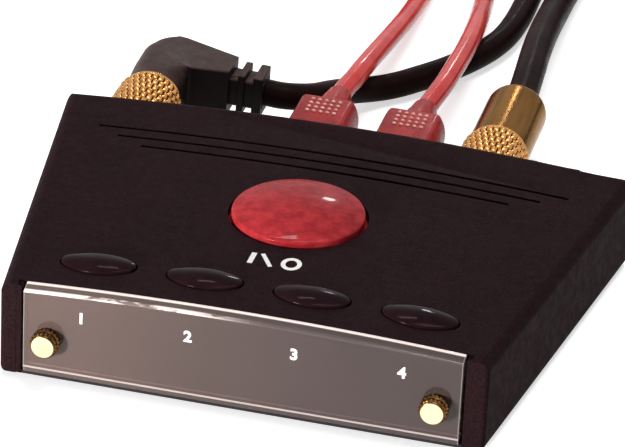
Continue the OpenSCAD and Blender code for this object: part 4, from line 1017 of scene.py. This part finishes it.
optical_spots = {
    "optical_plug_1": in_socket(OPTICAL_X[0], OPTICAL_PLUG_Y),
    "optical_plug_2": in_socket(OPTICAL_X[1], OPTICAL_PLUG_Y),
    "optical_far_plug_1": at_tail(optical_tail_1, GRIP_L + NECK_L),
    "optical_far_plug_2": at_tail(optical_tail_2, GRIP_L + NECK_L),
}
for node, spot in optical_spots.items():
    plug = mesh_piece(node + "_moulding", moved(optical_plug_parts(), spot), "plug_red")
    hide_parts(node)
    # The grip dots carry a pale pink painted highlight
    dots = mesh_piece(node + "_dots", moved(grip_dots(), spot), "dot_painted_highlight")

ELBOW_HALF = 6.3
ELBOW_OUT = 7.4
ELBOW_R = 7
ELBOW_BACK = 9.5
ELBOW_FRONT = 5.8
ELBOW_HALF_H = 6.0
ELBOW_TAPER = 0.35
CRISP_R = 0.5
ROUND_R = 5.8
SLAB_FLAT = 0.12
ARM_END_W = 8.6
RELIEF_CORE = (6.6, 6.8)
FIN_SIZE = (8, 9.8)
RELIEF_FINS = ((2, 1.6), (5.6, 2.2))
CORE_EASE = 0.8
FIN_EASE = 0.25


def slab_section(width, half_height, inner_r, outer_r):
    """A rectangle across the elbow with its own rounding on the inner and the outer side, anticlockwise.

    A point SLAB_FLAT past each arc keeps the flat faces flat.
    """
    corners = [(inner_r, -1, inner_r, 180, 270), (width - outer_r, -1, outer_r, 270, 360),
               (width - outer_r, 1, outer_r, 0, 90), (inner_r, 1, inner_r, 90, 180)]
    pieces = []
    for u, side, radius, start, stop in corners:
        curve = arc((u, side * (half_height - radius)), radius, start, stop, 9)
        first, last = np.radians([start, stop])
        before = curve[0] + SLAB_FLAT * np.array([math.sin(first), -math.cos(first)])
        after = curve[-1] + SLAB_FLAT * np.array([-math.sin(last), math.cos(last)])
        pieces += [[before], curve, [after]]
    return np.concatenate(pieces)


def elbow_sweep():
    """The elbow as a section carried round its bend, round on the leg and crisp-edged on the arm.

    Each section spans from a point of the inner side to a point of the outer side. Its corner radii
    go from ROUND_R to CRISP_R by a share that falls along the sweep.
    """
    inner_y = ELBOW_Y - ELBOW_FRONT
    corner = (ELBOW_R - ELBOW_OUT, ELBOW_Y + ELBOW_BACK - ELBOW_R)
    bend = arc(corner, ELBOW_R, 180, 90, 12)
    arm_rear = np.linspace(bend[-1], (ARM_L, ELBOW_Y + ARM_END_W / 2), 8)[1:]
    leg_y = np.array([COLLAR_L - 0.1, COLLAR_L + 3.5, inner_y - 1.2])
    leg_left = np.column_stack([(-ELBOW_HALF, -ELBOW_HALF - 0.3, -ELBOW_OUT + 0.2), leg_y])
    leg_right = np.column_stack([np.full(3, ELBOW_HALF), leg_y])
    outer = np.concatenate([leg_left, [(-ELBOW_OUT, inner_y + 3)], bend, arm_rear])
    turn = np.linspace((ELBOW_HALF, inner_y - 0.4), (ELBOW_HALF + 0.4, inner_y + 0.05), 15)
    arm_front = np.linspace(turn[-1], (ARM_L, ELBOW_Y - ARM_END_W / 2), 6)[1:]
    inner = np.concatenate([leg_right, turn, arm_front])
    along = np.linspace(0, 1, len(outer))
    round_share = np.interp(np.arange(len(outer)), [0, 1, 3, 8, 14, 16], [1, 1, 0.95, 0.85, 0.3, 0])
    inner_share = np.interp(np.arange(len(outer)), [0, 1, 3, 5], [1, 1, 0.15, 0])
    half_height = ELBOW_HALF_H - ELBOW_TAPER * smooth(along)
    more_r = ROUND_R - CRISP_R
    rows = []
    for start, stop, h, a, b in zip(inner, outer, half_height, inner_share, round_share):
        width = np.linalg.norm(stop - start)
        section = slab_section(width, h, CRISP_R + more_r * a, CRISP_R + more_r * b)
        flat = start + section[:, :1] * (stop - start) / width
        rows.append(np.column_stack([flat, section[:, 1]]))
    return solid_form(np.stack(rows) * MM)


def box_outline(low, high):
    """A rectangle's outline with eased corners."""
    return evenly([low, (high[0], low[1]), high, (low[0], high[1])], 120, 0.5)


def elbow_parts():
    """The moulded elbow: the swept bend and a ribbed strain relief."""
    parts = [elbow_sweep()]
    blocks = [(-1, RELIEF_L, RELIEF_CORE, CORE_EASE)]
    blocks += [(start, start + thick, FIN_SIZE, FIN_EASE) for start, thick in RELIEF_FINS]
    for start, stop, (width, height), ease in blocks:
        outline = box_outline((ARM_L + start, ELBOW_Y - width / 2), (ARM_L + stop, ELBOW_Y + width / 2))
        block = rounded_prism(outline, -height / 2, height / 2, ease)
        parts.append(solid_form(block * MM))
    return parts


elbow_spot = in_socket(ANGLE_X, COLLAR_Y, ELBOW_TILT)
elbow = mesh_piece("angle_plug_elbow", moved(elbow_parts(), elbow_spot), "plug_black")
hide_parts("angle_plug_body")

lead("angle_cable", angle_route, angle_coil, angle_tail, "lead_black",
     ["angle_lead", "angle_coil"])
lead("straight_cable", straight_route, straight_coil, straight_tail, "lead_black",
     ["straight_lead", "straight_coil"])
lead("optical_cable_1", optical_route_1, optical_coil_1, optical_tail_1, "lead_red",
     ["optical_lead_1", "optical_coil_1"])
lead("optical_cable_2", optical_route_2, optical_coil_2, optical_tail_2, "lead_red",
     ["optical_lead_2", "optical_coil_2"])


# Thumbscrews

SCREW_R = 3.0
SCREW_HEAD = 3.3
SCREW_SPOT = (40.5, -0.7, 10.4)
SCREW_DEPTH = 0.4
SCREW_TEETH = 20
CAP_R = 2.34
CAP_OVER = 0.03


def screw_parts():
    """A thumbscrew about +Y from the panel: shank, two knurled bands with a groove between, smooth face."""
    count = 240
    root = turned([(AXIS_R, -8.4), (1.2, -8.4), (1.4, -8.0), (1.4, 0.0), (SCREW_R - 0.5, 0.0)], count)
    rear_band = beaded(SCREW_R, SCREW_DEPTH, 0.25, 1.1, SCREW_TEETH, 1, count)
    groove = turned([(SCREW_R - 0.5, 1.25), (SCREW_R - 0.5, 1.75)], count)
    front_band = beaded(SCREW_R, SCREW_DEPTH, 1.9, 2.75, SCREW_TEETH, 1, count)
    rim = turned([(SCREW_R - 0.4, 2.85)], count)
    edge = arc((2.3, SCREW_HEAD - 0.35), 0.35, 0, 90, 6)
    face = turned(np.concatenate([edge, [(AXIS_R, SCREW_HEAD)]]), count)
    return [grid(np.concatenate([root, rear_band, groove, front_band, rim, face]) * MM, close_rows=True)]


def face_cap():
    """The thumbscrew's face: a thin disc over the end of the head, in a paler gold that is a painted
    highlight.
    """
    low, top = SCREW_HEAD - 0.1, SCREW_HEAD + CAP_OVER
    profile = [(AXIS_R, low), (CAP_R, low), (CAP_R, SCREW_HEAD), (2.2, top), (AXIS_R, top)]
    return [grid(turned(profile, 96) * MM, close_rows=True)]


for side, name in ((-1, "left"), (1, "right")):
    spot = place((side * SCREW_SPOT[0], *SCREW_SPOT[1:]))
    turn = Matrix.Translation(Vector(spot)) @ Matrix.Rotation(math.pi, 4, "Z")
    screw = mesh_piece(name + "_screw_head", moved(screw_parts(), turn), "gold", name + "_screw")
    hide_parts(name + "_thumbscrew")
    # The face disc is a painted highlight in paler gold
    face = mesh_piece(name + "_screw_face", moved(face_cap(), turn), "screw_face_painted_highlight", name + "_screw")


# Camera: at the photograph's viewing angle, aimed by two small offsets at the picture's middle

CAMERA_TURN = math.radians(12.916)
CAMERA_RISE = math.radians(28.572)
CAMERA_ROLL = math.radians(2.947)
CAMERA_RANGE = 839.93
CAMERA_OFFSET = (-5.153, -11.910)
CAMERA_AIM = (0, 38, 11)
SENSOR_W = 36
IMAGE_W = 625
FOCAL_PIXELS = 4010.5

level_share = math.cos(CAMERA_RISE)
level_back = np.array([math.sin(CAMERA_TURN), -math.cos(CAMERA_TURN), 0])
back = level_share * level_back + (0, 0, math.sin(CAMERA_RISE))
level_right = np.array([math.cos(CAMERA_TURN), math.sin(CAMERA_TURN), 0])
level_up = np.cross(back, level_right)
right = level_right * math.cos(CAMERA_ROLL) + level_up * math.sin(CAMERA_ROLL)
up = level_up * math.cos(CAMERA_ROLL) - level_right * math.sin(CAMERA_ROLL)
spot = np.array(CAMERA_AIM) + CAMERA_RANGE * back - CAMERA_OFFSET[0] * right - CAMERA_OFFSET[1] * up

camera_data = bpy.data.cameras.new("camera")
camera_data.sensor_width = SENSOR_W
camera_data.sensor_fit = "HORIZONTAL"
camera_data.lens = FOCAL_PIXELS * SENSOR_W / IMAGE_W
camera_data.clip_start = 0.05
camera_data.clip_end = 20
camera = add_object("camera", camera_data)
turn = Matrix([right, up, back]).transposed().to_4x4()
camera.matrix_world = Matrix.Translation(Vector(place(spot))) @ turn
bpy.context.scene.camera = camera


# Studio


def soft_lamp(name, spot, aim, width, height, power):
    """A rectangular area lamp that looks at a point, its width level."""
    data = bpy.data.lights.new(name, "AREA")
    data.shape = "RECTANGLE"
    data.size = width
    data.size_y = height
    data.energy = power
    lamp = add_object(name, data)
    spot, aim = Vector(spot), Vector(aim)
    lamp.matrix_world = Matrix.Translation(spot) @ (spot - aim).to_track_quat("Z", "Y").to_matrix().to_4x4()


soft_lamp("top_lamp", (0.15, 0.1, 1.0), (0, 0, 0), 0.4, 0.4, 5.6)
soft_lamp("front_lamp", (-0.45, -0.75, 0.1), (-0.01, -0.04, 0.012), 0.16, 0.16, 13.0)
soft_lamp("rear_lamp", (-0.3, 1.1, 0.5), (0, 0.05, 0.01), 0.5, 0.5, 0.2)
soft_lamp("streak_lamp", (-0.255, 0.537, 1.16), (0, -0.038, 0.023), 0.26, 0.08, 1.5)
soft_lamp("glint_lamp", (-0.1, 1.21, 0.49), (0, 0, 0.02), 0.07, 0.07, 0.8)


def background_share(tree):
    """1 for rays from the camera, off a glossy surface or through a clear one, else 0."""
    path = tree.nodes.new("ShaderNodeLightPath")
    share = path.outputs["Is Camera Ray"]
    for ray in ("Is Glossy Ray", "Is Transmission Ray"):
        either = tree.nodes.new("ShaderNodeMath")
        either.operation = "MAXIMUM"
        tree.links.new(share, either.inputs[0])
        tree.links.new(path.outputs[ray], either.inputs[1])
        share = either.outputs[0]
    return share


def white_world(lit, seen):
    """A world that lights with one strength and shows as white background with another."""
    world = bpy.data.worlds.new("studio")
    bpy.context.scene.world = world
    world.use_nodes = True
    tree = world.node_tree
    strength = tree.nodes.new("ShaderNodeMapRange")
    strength.inputs["To Min"].default_value = lit
    strength.inputs["To Max"].default_value = seen
    tree.links.new(background_share(tree), strength.inputs["Value"])
    background = tree.nodes["Background"]
    background.inputs["Color"].default_value = (1, 1, 1, 1)
    tree.links.new(strength.outputs["Result"], background.inputs["Strength"])


white_world(lit=0.16, seen=1.0)


def pale_floor(half, colour, glow):
    """A wide level square under the object, which adds its own white where the background is seen."""
    corners = np.array([(-half, -half, 0), (half, -half, 0), (half, half, 0), (-half, half, 0)])
    mesh = bpy.data.meshes.new("floor")
    mesh.from_pydata(corners.tolist(), [], [(0, 1, 2, 3)])
    floor = add_object("floor", mesh)
    material = bpy.data.materials.new("pale_floor")
    material.use_nodes = True
    tree = material.node_tree
    shader = tree.nodes["Principled BSDF"]
    shader.inputs["Base Color"].default_value = colour
    shader.inputs["Roughness"].default_value = 0.9
    shader.inputs["Specular IOR Level"].default_value = 0.1
    shader.inputs["Emission Color"].default_value = (1, 1, 1, 1)
    strength = tree.nodes.new("ShaderNodeMath")
    strength.operation = "MULTIPLY"
    strength.inputs[1].default_value = glow
    tree.links.new(background_share(tree), strength.inputs[0])
    tree.links.new(strength.outputs[0], shader.inputs["Emission Strength"])
    mesh.materials.append(material)


pale_floor(half=3.0, colour=(0.8, 0.8, 0.8, 1), glow=0.62)

bpy.context.scene.view_settings.view_transform = "Standard"

bpy.context.view_layer.update()
